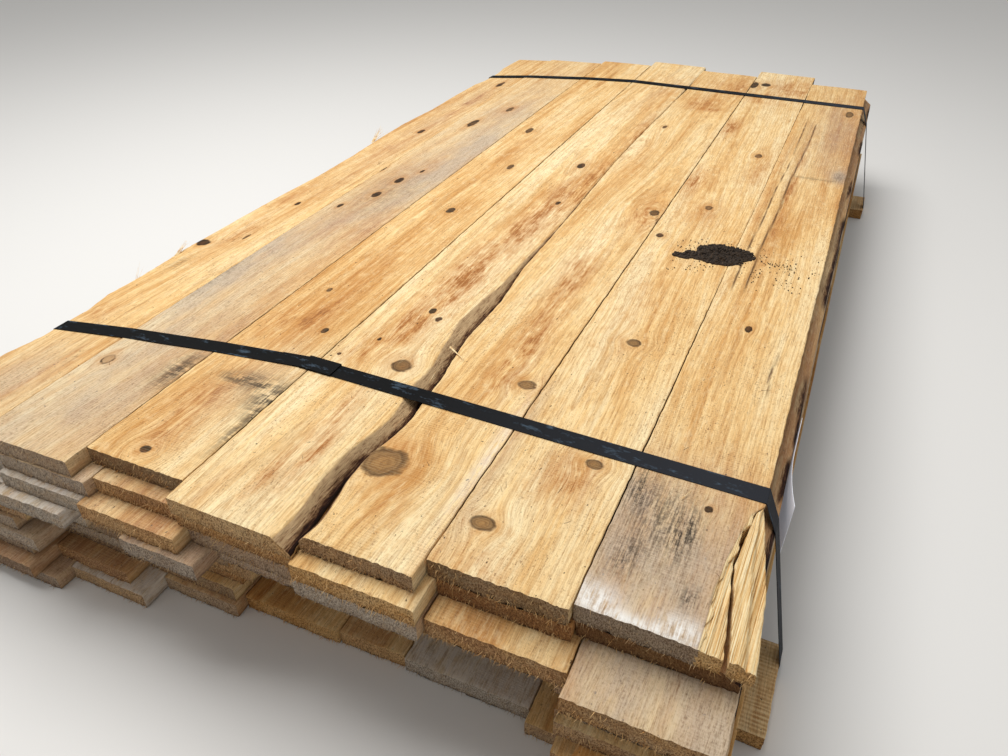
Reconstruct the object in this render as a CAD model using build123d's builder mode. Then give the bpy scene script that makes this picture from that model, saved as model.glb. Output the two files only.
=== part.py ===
import os

from build123d import *

# Bundle of rough-sawn cedar boards, eleven layers of mostly seven boards, in two steel straps.
# X runs across the boards, Y along them from the near ends to the far ends, Z up.
# The origin is on the floor, midway across and midway along the whole bundle.

# Boards
board_thickness = 25.4
board_gap = 2.0  # between two boards of a layer
end_skew = 2.5  # how far an end is out of square across its board
stack_length = 2072.0  # from the furthest near end to the furthest far end

# Every layer but the top one, from the floor up: how far its left edge stands back from the
# left side of the stack, then for each board its width and how far its near and far ends
# stand out from the near line and the far line
plain_layers = [
    (29.5, [(136, 45, 8), (131, 18, -20), (122, -22, 4), (146, -44, -12),
            (94, -50, 10), (168, -50, -6), (144, -36, -22)]),
    (7.5, [(132, 57, -16), (127, 10, 12), (150, -28, -8), (148, -95, 2),
           (150, -90, -18), (142, -100, 6), (112, -52, -14), (70, -112, 4)]),
    (2.5, [(128, 38, 4), (148, -14, -20), (146, -40, 12), (152, -82, -6),
           (150, -78, 8), (148, -86, -10), (152, 10, 0)]),
    (9.5, [(150, 44, -8), (142, -6, 10), (150, -34, -14), (147, -68, 4),
           (152, -62, -20), (150, -72, 12), (148, 22, -4)]),
    (0.0, [(126, 40, 12), (152, -2, -6), (148, -26, 6), (152, -55, -14),
           (146, -46, 8), (150, -60, -18), (149, 4, 10)]),
    (5.5, [(146, 36, -12), (150, 4, 8), (144, -18, -20), (152, -40, 12),
           (148, -32, -8), (150, -45, 4), (147, -6, -16)]),
    (11.5, [(122, 46, 6), (128, 26, -14), (156, 2, 12), (151, -22, -8),
            (149, -18, 10), (150, -30, -12), (150, -10, 4)]),
    (7.5, [(142, 40, -10), (113, 53, 6), (92, 8, -6), (108, 48, 12), (148, 10, -18),
           (150, -4, 4), (150, -14, -10), (118, -8, 8)]),
    (11.5, [(146, 30, 10), (136, 40, -12), (145, 42, 6), (149, 18, -20),
            (149, 28, 12), (151, 14, -6), (149, 36, 2)]),
    (6.5, [(152, 24, -6), (145, 32, 12), (124, 18, -16), (161, 20, 8),
           (147, 29, -10), (144, -18, 10), (156, -31, -12)]),
]

# Layers whose outermost board still has bark along its upper arris
waney_right = [5, 9]
waney_left = [2, 4]
edge_wane_width = 16.0
edge_wane_depth = 14.0

# The top layer: for each board its width at the near end and at the far end,
# and how far its near and far ends stand out
top_inset_near = 10.0
top_inset_far = 12.0
top_boards = [
    (125.0, 98.0, 29, -41), (149.5, 164.0, 31, -36), (146.0, 144.0, 0, -12),
    (161.0, 154.5, 26, 34), (134.0, 152.5, 10, -7), (150.0, 150.5, -17, 51),
    (143.0, 141.5, -28, -24),
]

# The waney seam of the top layer, beside its fourth board: for each point the distance from
# the near line, how far the bark bites into that board, and the room to the fifth board
waney_board = 3
wane_path = [(20.0, 1.5, 8.0), (80.0, 8.0, 8.0), (155.0, 5.0, 4.0), (229.0, 14.5, 4.0),
             (580.0, 14.0, 3.0), (1130.0, 17.0, 4.0), (1580.0, 8.0, 5.0)]
wane_width = 20.0  # of the bark slope, seen from above
wane_depth = 17.0

# The split at the near end of the top layer's last board, and the strip that sprang out
split_length = 191.0
split_from_edge = 7.5  # of its tip, from the board's right edge
split_mouth = 5.0
strip_width = 24.0
strip_splay = 26.0  # how far the strip's end has sprung out
strip_root = 203.0  # from the board's near end to where its right edge is straight again

# Packing blocks on the right of the lowest layer, one in each strap's corner
block_width = 112.0
front_block_length = 134.0
rear_block_length = 98.0
front_block_setback = 131.0  # of its near end from the near line
rear_block_setback = 132.0  # of its far end from the far line

# The left side of the stack sags, so its boards are thinner there: distance from the left
# edge, and how far the top face has dropped
sag = [(0.0, 20.0), (127.5, 10.0), (282.5, 3.0), (423.5, 0.0)]

# Straps
strap_width = 25.4
strap_thickness = 0.8
strap_clearance = 0.2  # between a strap and the wood that it goes round
front_strap_inset = 246.0  # from the near line to the front strap's middle at the right
rear_strap_inset = 205.0  # from the far line to the rear strap's middle at the right
front_strap_skew = 52.0  # how far its left end comes forward, where the stack sags
rear_strap_skew = 60.0

# Seals that close the straps
seal_length = 50.0
seal_wall = 1.0
seal_play = 0.1  # between the seal and the strap in it
lap_tail = 41.0  # of the strap's loose end, past the seal
front_seal_past_sag = 22.0  # from the sag's inner end to the middle of the front seal
rear_seal_drop = 14.0  # from the top left corner to the rear seal, on the left side

# Blank tag, a sheet that hangs flat against the right side and curls away near the strap
tag_layers = 4  # that it covers, down from below the top layer
tag_thickness = 0.4
tag_width = 168.0
tag_loose = 92.0  # of its width that curls away
tag_curl = 12.5  # how far its near edge stands away
tag_top_inset = 7.0  # of its upper edge below its uppermost layer's top face
tag_bottom_inset = 8.0  # of its lower edge above its lowest layer's underside
tag_clearance = 0.2
tag_behind_strap = 32.0  # from the middle of the front strap to its near edge

# What follows from them
layer_count = len(plain_layers) + 1
wood_bottom = strap_thickness  # the lowest boards lie on the straps
stack_height = layer_count * board_thickness
all_ends = [board[1:] for _, boards in plain_layers for board in boards]
all_ends += [board[2:] for board in top_boards]
near_line = max(near for near, _ in all_ends) - stack_length / 2
far_line = stack_length / 2 - max(far for _, far in all_ends)


def layer_width(inset, boards):
    """Distance from the left side of the stack to a plain layer's right edge."""
    return inset + sum(board[0] for board in boards) + board_gap * (len(boards) - 1)


widths = [layer_width(inset, boards) for inset, boards in plain_layers]
stack_width = widths[0] + board_gap + block_width
stack_left = -stack_width / 2
stack_right = stack_width / 2
sag_inner = stack_left + sag[-1][0]


def drop_at(x):
    """How far the top face lies below level at X."""
    from_left = max(0.0, x - stack_left)
    for (a, drop_a), (b, drop_b) in zip(sag, sag[1:]):
        if from_left <= b:
            return drop_a + (drop_b - drop_a) * (from_left - a) / (b - a)
    return 0.0


def layer_floor(layer, x):
    """Height of the underside of a layer at X, the layers counted from 0."""
    return wood_bottom + layer * board_thickness * (1 - drop_at(x) / stack_height)


def layer_band(layer):
    """Outline in the XZ plane of a layer, between its two sagging faces."""
    xs = [stack_left - stack_width] + [stack_left + a for a, _ in sag] + [stack_width]
    under = [(x, layer_floor(layer, x)) for x in xs]
    over = [(x, layer_floor(layer + 1, x)) for x in reversed(xs)]
    return under + over


def packing_block(near, far):
    """Block between two ends, as high as the lowest layer."""
    with BuildPart() as block:
        with BuildSketch(Plane.XY.offset(wood_bottom)):
            with Locations((stack_right - block_width / 2, (near + far) / 2)):
                Rectangle(block_width, far - near)
        extrude(amount=board_thickness)
    return block


# Packing blocks
front_block_near = near_line + front_block_setback
front_block = packing_block(front_block_near, front_block_near + front_block_length)
front_block.part.label = "front_block"
rear_block_far = far_line - rear_block_setback
rear_block = packing_block(rear_block_far - rear_block_length, rear_block_far)
rear_block.part.label = "rear_block"

# Layers of plain boards
board_layers = []
for layer, (inset, boards) in enumerate(plain_layers):
    with BuildPart() as board_layer:
        with BuildSketch(Plane.XY):
            x = stack_left + inset
            for width, near_out, far_out in boards:
                near = near_line - near_out
                far = far_line + far_out
                with BuildLine():
                    Polyline((x, near), (x + width, near + end_skew),
                             (x + width, far), (x, far - end_skew), close=True)
                make_face()
                x += width + board_gap
        extrude(amount=wood_bottom + stack_height)
        with BuildSketch(Plane.XZ):
            with BuildLine():
                Polyline(*layer_band(layer), close=True)
            make_face()
        extrude(amount=stack_length, both=True, mode=Mode.INTERSECT)
        long_edges = board_layer.edges().filter_by(Axis.Y)
        if layer in waney_right:
            right_edges = long_edges.group_by(Axis.X)[-1]
            chamfer(right_edges.sort_by(Axis.Z)[-1], edge_wane_width, edge_wane_depth)
        if layer in waney_left:
            left_edges = long_edges.group_by(Axis.X)[0]
            chamfer(left_edges.sort_by(Axis.Z)[-1], edge_wane_width, edge_wane_depth)
    board_layer.part.label = f"board_layer_{layer + 1:02d}"
    board_layers.append(board_layer)

# Top layer, whose boards have slanting seams, a waney seam and a split end
top_layer = layer_count - 1
top_height = wood_bottom + stack_height
left_near = stack_left + top_inset_near
left_far = stack_left + top_inset_far
with BuildPart() as top_boards_part:
    with BuildSketch(Plane.XY):
        for n, (near_width, far_width, near_out, far_out) in enumerate(top_boards):
            near = near_line - near_out
            far = far_line + far_out
            near_left = (left_near, near)
            far_left = (left_far, far)
            near_right = (left_near + near_width, near + end_skew)
            far_right = (left_far + far_width, far - end_skew)
            with BuildLine():
                Line(far_left, far_right)
                if n == waney_board:
                    slope = (far_right[0] - near_right[0]) / (far_right[1] - near_right[1])
                    bark = [(near_right[0] + slope * along - bite, near_line + along, room)
                            for along, bite, room in wane_path]
                    Spline(far_right, *[(x, y) for x, y, _ in reversed(bark)], near_right)
                    Polyline(near_right, near_left, far_left)
                elif n == waney_board + 1:
                    Polyline(far_right, near_right, near_left)
                    Spline(near_left, *[(x + room, y) for x, y, room in bark], far_left)
                elif n == len(top_boards) - 1:
                    strip_outer = near_right[0] + strip_splay
                    strip_inner = strip_outer - strip_width
                    Polyline(far_right, (near_right[0], near + strip_root),
                             (strip_outer, near + end_skew),
                             (strip_inner, near + end_skew),
                             (near_right[0] - split_from_edge, near + split_length),
                             (strip_inner - split_mouth, near),
                             near_left, far_left)
                else:
                    Polyline(far_right, near_right, near_left, far_left)
            make_face()
            left_near += near_width + board_gap
            left_far += far_width + board_gap
    extrude(amount=top_height)
    with BuildSketch(Plane.XZ):
        with BuildLine():
            Polyline(*layer_band(top_layer), close=True)
        make_face()
    extrude(amount=stack_length, both=True, mode=Mode.INTERSECT)
    bark_edges = top_boards_part.edges().filter_by(GeomType.BSPLINE)
    chamfer(bark_edges.group_by(Axis.Z)[-1], wane_width, wane_depth)
top_boards_part.part.label = f"board_layer_{layer_count:02d}"
board_layers.append(top_boards_part)
top_left = stack_left + min(top_inset_near, top_inset_far)
top_right = max(left_near, left_far) - board_gap

# The corners that a strap goes round, and their hull, which it follows
strap_corners = [(stack_left, wood_bottom + strap_clearance),
                 (stack_right, wood_bottom + strap_clearance),
                 (stack_right, wood_bottom + board_thickness),
                 (top_left, layer_floor(layer_count, top_left)), (top_right, top_height)]
strap_corners += [(stack_left + a, layer_floor(layer_count, stack_left + a))
                  for a, _ in sag[1:]]
for layer, (inset, boards) in enumerate(plain_layers):
    left = stack_left + inset
    right = stack_left + widths[layer]
    left_top = layer_floor(layer + 1, left)
    right_top = layer_floor(layer + 1, right)
    if layer in waney_left:
        strap_corners.append((left, left_top - edge_wane_depth))
    else:
        strap_corners.append((left, left_top))
    if layer in waney_right:
        strap_corners.append((right, right_top - edge_wane_depth))
        strap_corners.append((right - edge_wane_width, right_top))
    else:
        strap_corners.append((right, right_top))
with BuildSketch() as strap_hull:
    with BuildLine():
        Polyline(*strap_corners, close=True)
    make_hull()


def strap_track(middle, skew, width, x_from, x_to):
    """Plan outline of a stretch of the run that a strap takes over the boards."""
    bend = skew / (sag_inner - stack_left)
    xs = [x_from, x_to]
    if x_from < sag_inner < x_to:
        xs.insert(1, sag_inner)
    line = [(x, middle - bend * max(0.0, sag_inner - x)) for x in xs]
    return ([(x, y - width / 2) for x, y in line]
            + [(x, y + width / 2) for x, y in reversed(line)])


def strap_run(inner, outer, track, low, high):
    """Sleeve between two distances from the wood, cut to a plan outline and two heights."""
    with BuildPart() as run:
        for around, mode in ((outer, Mode.ADD), (inner, Mode.SUBTRACT)):
            with BuildSketch(Plane.XZ):
                add(strap_hull.sketch)
                offset(amount=around)
            extrude(amount=stack_length / 2, both=True, mode=mode)
        with BuildSketch(Plane.XY.offset(low)):
            with BuildLine():
                Polyline(*track, close=True)
            make_face()
        extrude(amount=high - low, mode=Mode.INTERSECT)
    return run.part


ply_1 = strap_clearance + strap_thickness  # the outside of a strap
ply_2 = ply_1 + strap_thickness  # the outside of its loose end
seal_inside = ply_2 + seal_play
below = -stack_height
above = 2 * stack_height
half_height = stack_height / 2
seal_inner_width = strap_width + 2 * seal_play
seal_outer_width = seal_inner_width + 2 * seal_wall

# Front strap, which goes once round, and its loose end on its own top run
front_middle = near_line + front_strap_inset
seal_from = sag_inner + front_seal_past_sag - seal_length / 2
seal_to = seal_from + seal_length
whole_track = strap_track(front_middle, front_strap_skew, strap_width,
                          -stack_width, stack_width)
lap_track = strap_track(front_middle, front_strap_skew, strap_width,
                        seal_from - lap_tail, seal_to)
with BuildPart() as front_strap:
    add(strap_run(strap_clearance, ply_1, whole_track, below, above))
    add(strap_run(ply_1, ply_2, lap_track, half_height, above))
front_strap.part.label = "front_strap"

# Front seal, a channel bent down over both plies
seal_track = strap_track(front_middle, front_strap_skew, seal_outer_width,
                         seal_from, seal_to)
seal_core_track = strap_track(front_middle, front_strap_skew, seal_inner_width,
                              seal_from - seal_wall, seal_to + seal_wall)
with BuildPart() as front_seal:
    add(strap_run(strap_clearance, seal_inside + seal_wall, seal_track, half_height, above))
    add(strap_run(0, seal_inside, seal_core_track, half_height, above), mode=Mode.SUBTRACT)
front_seal.part.label = "front_seal"

# Rear strap, whose loose end runs down its left side
rear_middle = far_line - rear_strap_inset
rear_seal_high = layer_floor(layer_count, top_left) - rear_seal_drop
rear_seal_low = rear_seal_high - seal_length
whole_track = strap_track(rear_middle, rear_strap_skew, strap_width,
                          -stack_width, stack_width)
lap_track = strap_track(rear_middle, rear_strap_skew, strap_width, -stack_width, 0)
with BuildPart() as rear_strap:
    add(strap_run(strap_clearance, ply_1, whole_track, below, above))
    add(strap_run(ply_1, ply_2, lap_track, rear_seal_low - lap_tail, rear_seal_high))
rear_strap.part.label = "rear_strap"

# Rear seal, on the left side
seal_track = strap_track(rear_middle, rear_strap_skew, seal_outer_width, -stack_width, 0)
seal_core_track = strap_track(rear_middle, rear_strap_skew, seal_inner_width,
                              -stack_width, 0)
with BuildPart() as rear_seal:
    add(strap_run(strap_clearance, seal_inside + seal_wall, seal_track,
                  rear_seal_low, rear_seal_high))
    add(strap_run(0, seal_inside, seal_core_track, rear_seal_low - seal_wall,
                  rear_seal_high + seal_wall), mode=Mode.SUBTRACT)
rear_seal.part.label = "rear_seal"

# Blank tag, flat against the widest of the layers that it covers
tag_lowest = len(plain_layers) - tag_layers
tag_x = stack_left + max(widths[tag_lowest:]) + tag_clearance
tag_bottom = layer_floor(tag_lowest, tag_x) + tag_bottom_inset
tag_top = layer_floor(len(plain_layers), tag_x) - tag_top_inset
tag_near = front_middle + tag_behind_strap
with BuildPart() as blank_tag:
    with BuildSketch(Plane.XY.offset(tag_bottom)):
        with BuildLine():
            flat = Line((tag_x, tag_near + tag_width), (tag_x, tag_near + tag_loose))
            TangentArc(flat @ 1, (tag_x + tag_curl, tag_near), tangent=flat % 1)
            offset(amount=tag_thickness, side=Side.LEFT)
        make_face()
    extrude(amount=tag_top - tag_bottom)
blank_tag.part.label = "blank_tag"

os.makedirs("parts", exist_ok=True)
for piece in board_layers + [front_block, rear_block, front_strap, front_seal, rear_strap,
                             rear_seal, blank_tag]:
    export_step(piece.part, f"parts/{piece.part.label}.step")
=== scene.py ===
import math
from functools import partial

import bpy
import numpy as np
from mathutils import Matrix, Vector


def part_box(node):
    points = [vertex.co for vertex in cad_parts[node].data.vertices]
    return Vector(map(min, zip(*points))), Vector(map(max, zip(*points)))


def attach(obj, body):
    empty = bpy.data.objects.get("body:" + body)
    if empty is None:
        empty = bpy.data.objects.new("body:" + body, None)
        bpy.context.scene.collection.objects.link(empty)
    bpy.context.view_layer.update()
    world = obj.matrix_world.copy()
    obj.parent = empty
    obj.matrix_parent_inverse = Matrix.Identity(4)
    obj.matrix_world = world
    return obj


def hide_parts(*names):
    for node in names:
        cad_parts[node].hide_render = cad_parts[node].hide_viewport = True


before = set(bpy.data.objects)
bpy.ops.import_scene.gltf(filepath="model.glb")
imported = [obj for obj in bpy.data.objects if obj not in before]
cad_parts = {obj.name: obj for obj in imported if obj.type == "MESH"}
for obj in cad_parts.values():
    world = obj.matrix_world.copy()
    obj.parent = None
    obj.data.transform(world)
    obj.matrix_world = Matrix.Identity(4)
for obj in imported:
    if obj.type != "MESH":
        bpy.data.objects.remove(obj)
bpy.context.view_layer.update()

mm = 0.001
scene = bpy.context.scene


# Colours are written as sRGB hex and turned to linear here
def linear(code):
    parts = [int(code[i:i + 2], 16) / 255 for i in (1, 3, 5)]
    return [c / 12.92 if c <= 0.04045 else ((c + 0.055) / 1.055) ** 2.4 for c in parts] + [1.0]


# Smooth repeatable noise from -1 to 1, with one bump for each unit of x and y
def softNoise(x, y, seed):
    def corner(ix, iy):
        h = np.sin(ix * 127.1 + iy * 311.7 + seed * 74.7) * 43758.5453
        return h - np.floor(h)
    ix, iy = np.floor(x), np.floor(y)
    fx, fy = x - ix, y - iy
    fx, fy = fx * fx * (3 - 2 * fx), fy * fy * (3 - 2 * fy)
    low = corner(ix, iy) * (1 - fx) + corner(ix + 1, iy) * fx
    high = corner(ix, iy + 1) * (1 - fx) + corner(ix + 1, iy + 1) * fx
    return (low * (1 - fy) + high * fy) * 2 - 1


# A value kept from 0 to 1
def share(value):
    return np.clip(value, 0, 1)


# Camera, lights and stage
viewSettings = {
    "height": 590 * mm,  # above the top boards
    "across": 466.1 * mm,
    "along": -1386.5 * mm,
    "heading": 24.53,  # degrees to the left of the boards' own direction
    "pitch": 36.24,  # degrees down
    "lens": 27.14,
    "floorColour": "#e0deda",
    "floorReach": 30,  # metres from the bundle to the floor's edges
    "lampPlace": (-0.8, -0.2, 2.9),
    "lampAim": (0, 0, 0.2),
    "lampSize": (2.2, 1.8),
    "lampPower": 86.0,
    "skyStrength": 0.455,
}


# A new object in the scene
def newObject(name, data):
    piece = bpy.data.objects.new(name, data)
    scene.collection.objects.link(piece)
    return piece


# A new object from points in metres and the faces between them
def meshObject(name, points, faces, material=None):
    mesh = bpy.data.meshes.new(name)
    mesh.from_pydata(points, [], faces)
    if material:
        mesh.materials.append(material)
    return newObject(name, mesh)


# The camera stands where the photograph was taken from
def makeStage(v):
    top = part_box("board_layer_11")[1].z
    cameraData = bpy.data.cameras.new("photoCamera")
    cameraData.sensor_width = 36
    cameraData.lens = v["lens"]
    cameraData.clip_start = 0.02
    camera = newObject("photoCamera", cameraData)
    camera.location = (v["across"], v["along"], top + v["height"])
    heading, pitch = math.radians(v["heading"]), math.radians(v["pitch"])
    ahead = Vector((-math.sin(heading) * math.cos(pitch), math.cos(heading) * math.cos(pitch),
                    -math.sin(pitch)))
    camera.rotation_euler = ahead.to_track_quat("-Z", "Y").to_euler()
    scene.camera = camera

    r = v["floorReach"]
    floor = meshObject("studioFloor", [(-r, -r, 0), (r, -r, 0), (r, r, 0), (-r, r, 0)],
                       [(0, 1, 2, 3)], paleFloor(v["floorColour"]))

    # One wide soft lamp overhead on the left, and an even pale sky
    lampData = bpy.data.lights.new("overheadSoftbox", "AREA")
    lampData.shape = "RECTANGLE"
    lampData.size, lampData.size_y = v["lampSize"]
    lampData.energy = v["lampPower"]
    lamp = newObject("overheadSoftbox", lampData)
    lamp.location = v["lampPlace"]
    aim = Vector(v["lampAim"]) - lamp.location
    lamp.rotation_euler = aim.to_track_quat("-Z", "Y").to_euler()

    world = bpy.data.worlds.new("studioSky")
    world.use_nodes = True
    scene.world = world
    fill(world.node_tree.nodes["Background"], {"Color": "#ffffff", "Strength": v["skyStrength"]})
    scene.view_settings.view_transform = "Standard"
    print("stage and camera ready")


# Nodes that are used often, by a short name: type, inputs or settings in order, fixed
# settings and the output to take
usualNodes = {
    "mix": ("ShaderNodeMix", (0, 6, 7), {"data_type": "RGBA"}, 2),
    "range": ("ShaderNodeMapRange", (0, 1, 2, 3, 4), {}, 0),
    "ramp": ("ShaderNodeValToRGB", (0, "stops"), {}, 0),
    "read": ("ShaderNodeAttribute", ("attribute_name",), {}, "Fac"),
}
for word, operation in {"plus": "ADD", "minus": "SUBTRACT", "times": "MULTIPLY",
                        "over": "DIVIDE", "most": "MAXIMUM", "least": "MINIMUM",
                        "sine": "SINE", "fraction": "FRACT", "root": "SQRT"}.items():
    usualNodes[word] = ("ShaderNodeMath", (0, 1), {"operation": operation}, 0)


# Adds one node with its settings and links. A usual node takes its values in order and gives
# back its one output, and any other takes a dictionary and gives back all its outputs.
def put(tree, kind, *values, **settings):
    name, order, fixed, output = usualNodes.get(kind, (kind, None, {}, None))
    if name == "ShaderNodeMath" and len(values) > 2:  # a sum or product of several
        values = (put(tree, kind, *values[:-1]), values[-1])
    node = tree.nodes.new(name)
    given = dict(zip(order, values)) if order else dict(*values)
    fill(node, {**fixed, **settings, **given})
    return node.outputs if output is None else node.outputs[output]


# Sets a node's own settings and its inputs, which take a link, a number or a hex colour
def fill(node, given):
    for key, value in given.items():
        if isinstance(value, str) and value.startswith("#"):
            value = linear(value)
        if isinstance(value, bpy.types.NodeSocket):
            node.id_data.links.new(value, node.inputs[key])
        elif key == "stops":
            elements = node.color_ramp.elements
            while len(elements) < len(value):
                elements.new(0.5)
            for element, (place, code) in zip(elements, value):
                element.position = place
                element.color = linear(code)
        elif isinstance(key, str) and hasattr(node, key):
            setattr(node, key, value)
        else:
            node.inputs[key].default_value = value


# A new material, what adds a node to it, and its shader
def newMaterial(name):
    material = bpy.data.materials.new(name)
    material.use_nodes = True
    return material, partial(put, material.node_tree), material.node_tree.nodes["Principled BSDF"]


# Matt pale studio floor
def paleFloor(code):
    material, _, shader = newMaterial("mattStudioFloor")
    fill(shader, {"Base Color": code, "Roughness": 0.9})
    return material


# Noise whose bumps have a real size in millimetres across, along and up
def sized(add, vector, size, detail=3.0, roughness=0.55):
    mapped = add("ShaderNodeMapping", {"Vector": vector, "Scale": [1 / (s * mm) for s in size]})
    return add("ShaderNodeTexNoise", {"Vector": mapped[0], "Scale": 1.0, "Detail": detail,
                                      "Roughness": roughness})["Fac"]


# Colours of the faces, knots, bark, split wood and ends, and the sizes of their patterns
cedarLook = {
    "cream": "#f8e2b2",
    "straw": "#efc98b",
    "tan": "#d6a260",
    "orange": "#b57838",
    "latewood": "#9a6632",
    "fibreDark": "#7c4d25",
    "heart": "#b9783a",
    "heartDark": "#8c5426",
    "grey": "#bbab9a",
    "greyFibre": "#6d5b4b",
    "mould": "#f0ede6",
    "soot": "#3a332c",
    "knotHeart": "#a67c49",
    "knot": "#836541",
    "knotRing": "#6b4829",
    "knotRim": "#33200f",
    "crack": "#4d2f18",
    "bark": "#94714e",
    "barkDark": "#4c2c1b",
    "barkPale": "#c8a87e",
    "barkDeep": "#22120c",
    "torn": "#7c5029",
    # painted shade: low on each board and along its sides inside the stack
    "paintedShade": "#35251a",
    "rot": ("#150c07", "#56321b"),
    "split": [(0.30, "#a06c38"), (0.40, "#d6a868"), (0.50, "#ecce98"), (0.66, "#f8e6bc")],
    "splitShade": "#c08a50",
    "end": [(0.0, "#cba36c"), (0.25, "#b58246"), (0.5, "#916338"), (0.75, "#70492d"),
            (1.0, "#443020")],
    "endRings": "#6d4826",
    "endPits": "#4d3019",
    "endFibre": "#ddb781",
    "endGrey": ("#6c6053", "#c0b3a2"),
    "endShade": "#38261a",
    "looseGrey": "#a1927e",
    "ringWidth": 4.6 * mm,  # between growth rings
    "sawSpacing": 3.4 * mm,  # between saw lines
    "splitTurn": 0.03,  # radians that the split wood's fibres lean
}


# The wood colour that faces and ends share: solid growth rings, streaks and fibres that
# follow the attribute grainPlace, the place of a point in its tree
def cedarColour(add, look):
    grain = add("ShaderNodeAttribute", attribute_name="grainPlace")["Vector"]
    part = add("ShaderNodeSeparateXYZ", {"Vector": grain})
    slow = sized(add, grain, (70, 620, 70), detail=3.0, roughness=0.6)
    streak = sized(add, grain, (9, 300, 9), detail=4.0, roughness=0.62)
    fibre = sized(add, grain, (1.6, 30, 1.6), detail=5.0, roughness=0.74)
    short = sized(add, grain, (1.7, 9, 1.7), detail=4.0, roughness=0.74)
    radius = add("root", add("plus", add("times", part[0], part[0]),
                             add("times", part[2], part[2])))
    warped = add("plus", radius, add("times", slow, 34 * mm))
    ring = add("fraction", add("over", warped, look["ringWidth"]))
    late = add("times", add("range", ring, 0.45, 0.97), add("range", streak, 0.3, 0.6, 0.4, 1.0))
    tone = add("plus", add("read", "tone"), add("range", slow, 0.25, 0.75, -0.42, 0.46),
               add("range", streak, 0.3, 0.75, -0.16, 0.32))
    base = add("ramp", tone, [(0.0, look["cream"]), (0.42, look["straw"]), (0.72, look["tan"]),
                              (1.0, look["orange"])])
    ringed = add("mix", add("times", late, 0.36), base, look["latewood"])
    fibred = add("mix", add("range", fibre, 0.50, 0.68, 0.0, 0.60), ringed, look["latewood"])
    fibred = add("mix", add("range", short, 0.56, 0.72, 0.0, 0.62), fibred, look["fibreDark"])
    lit = add("mix", add("range", fibre, 0.45, 0.28, 0.0, 0.65), fibred, look["cream"])
    return lit, fibre, late


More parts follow.
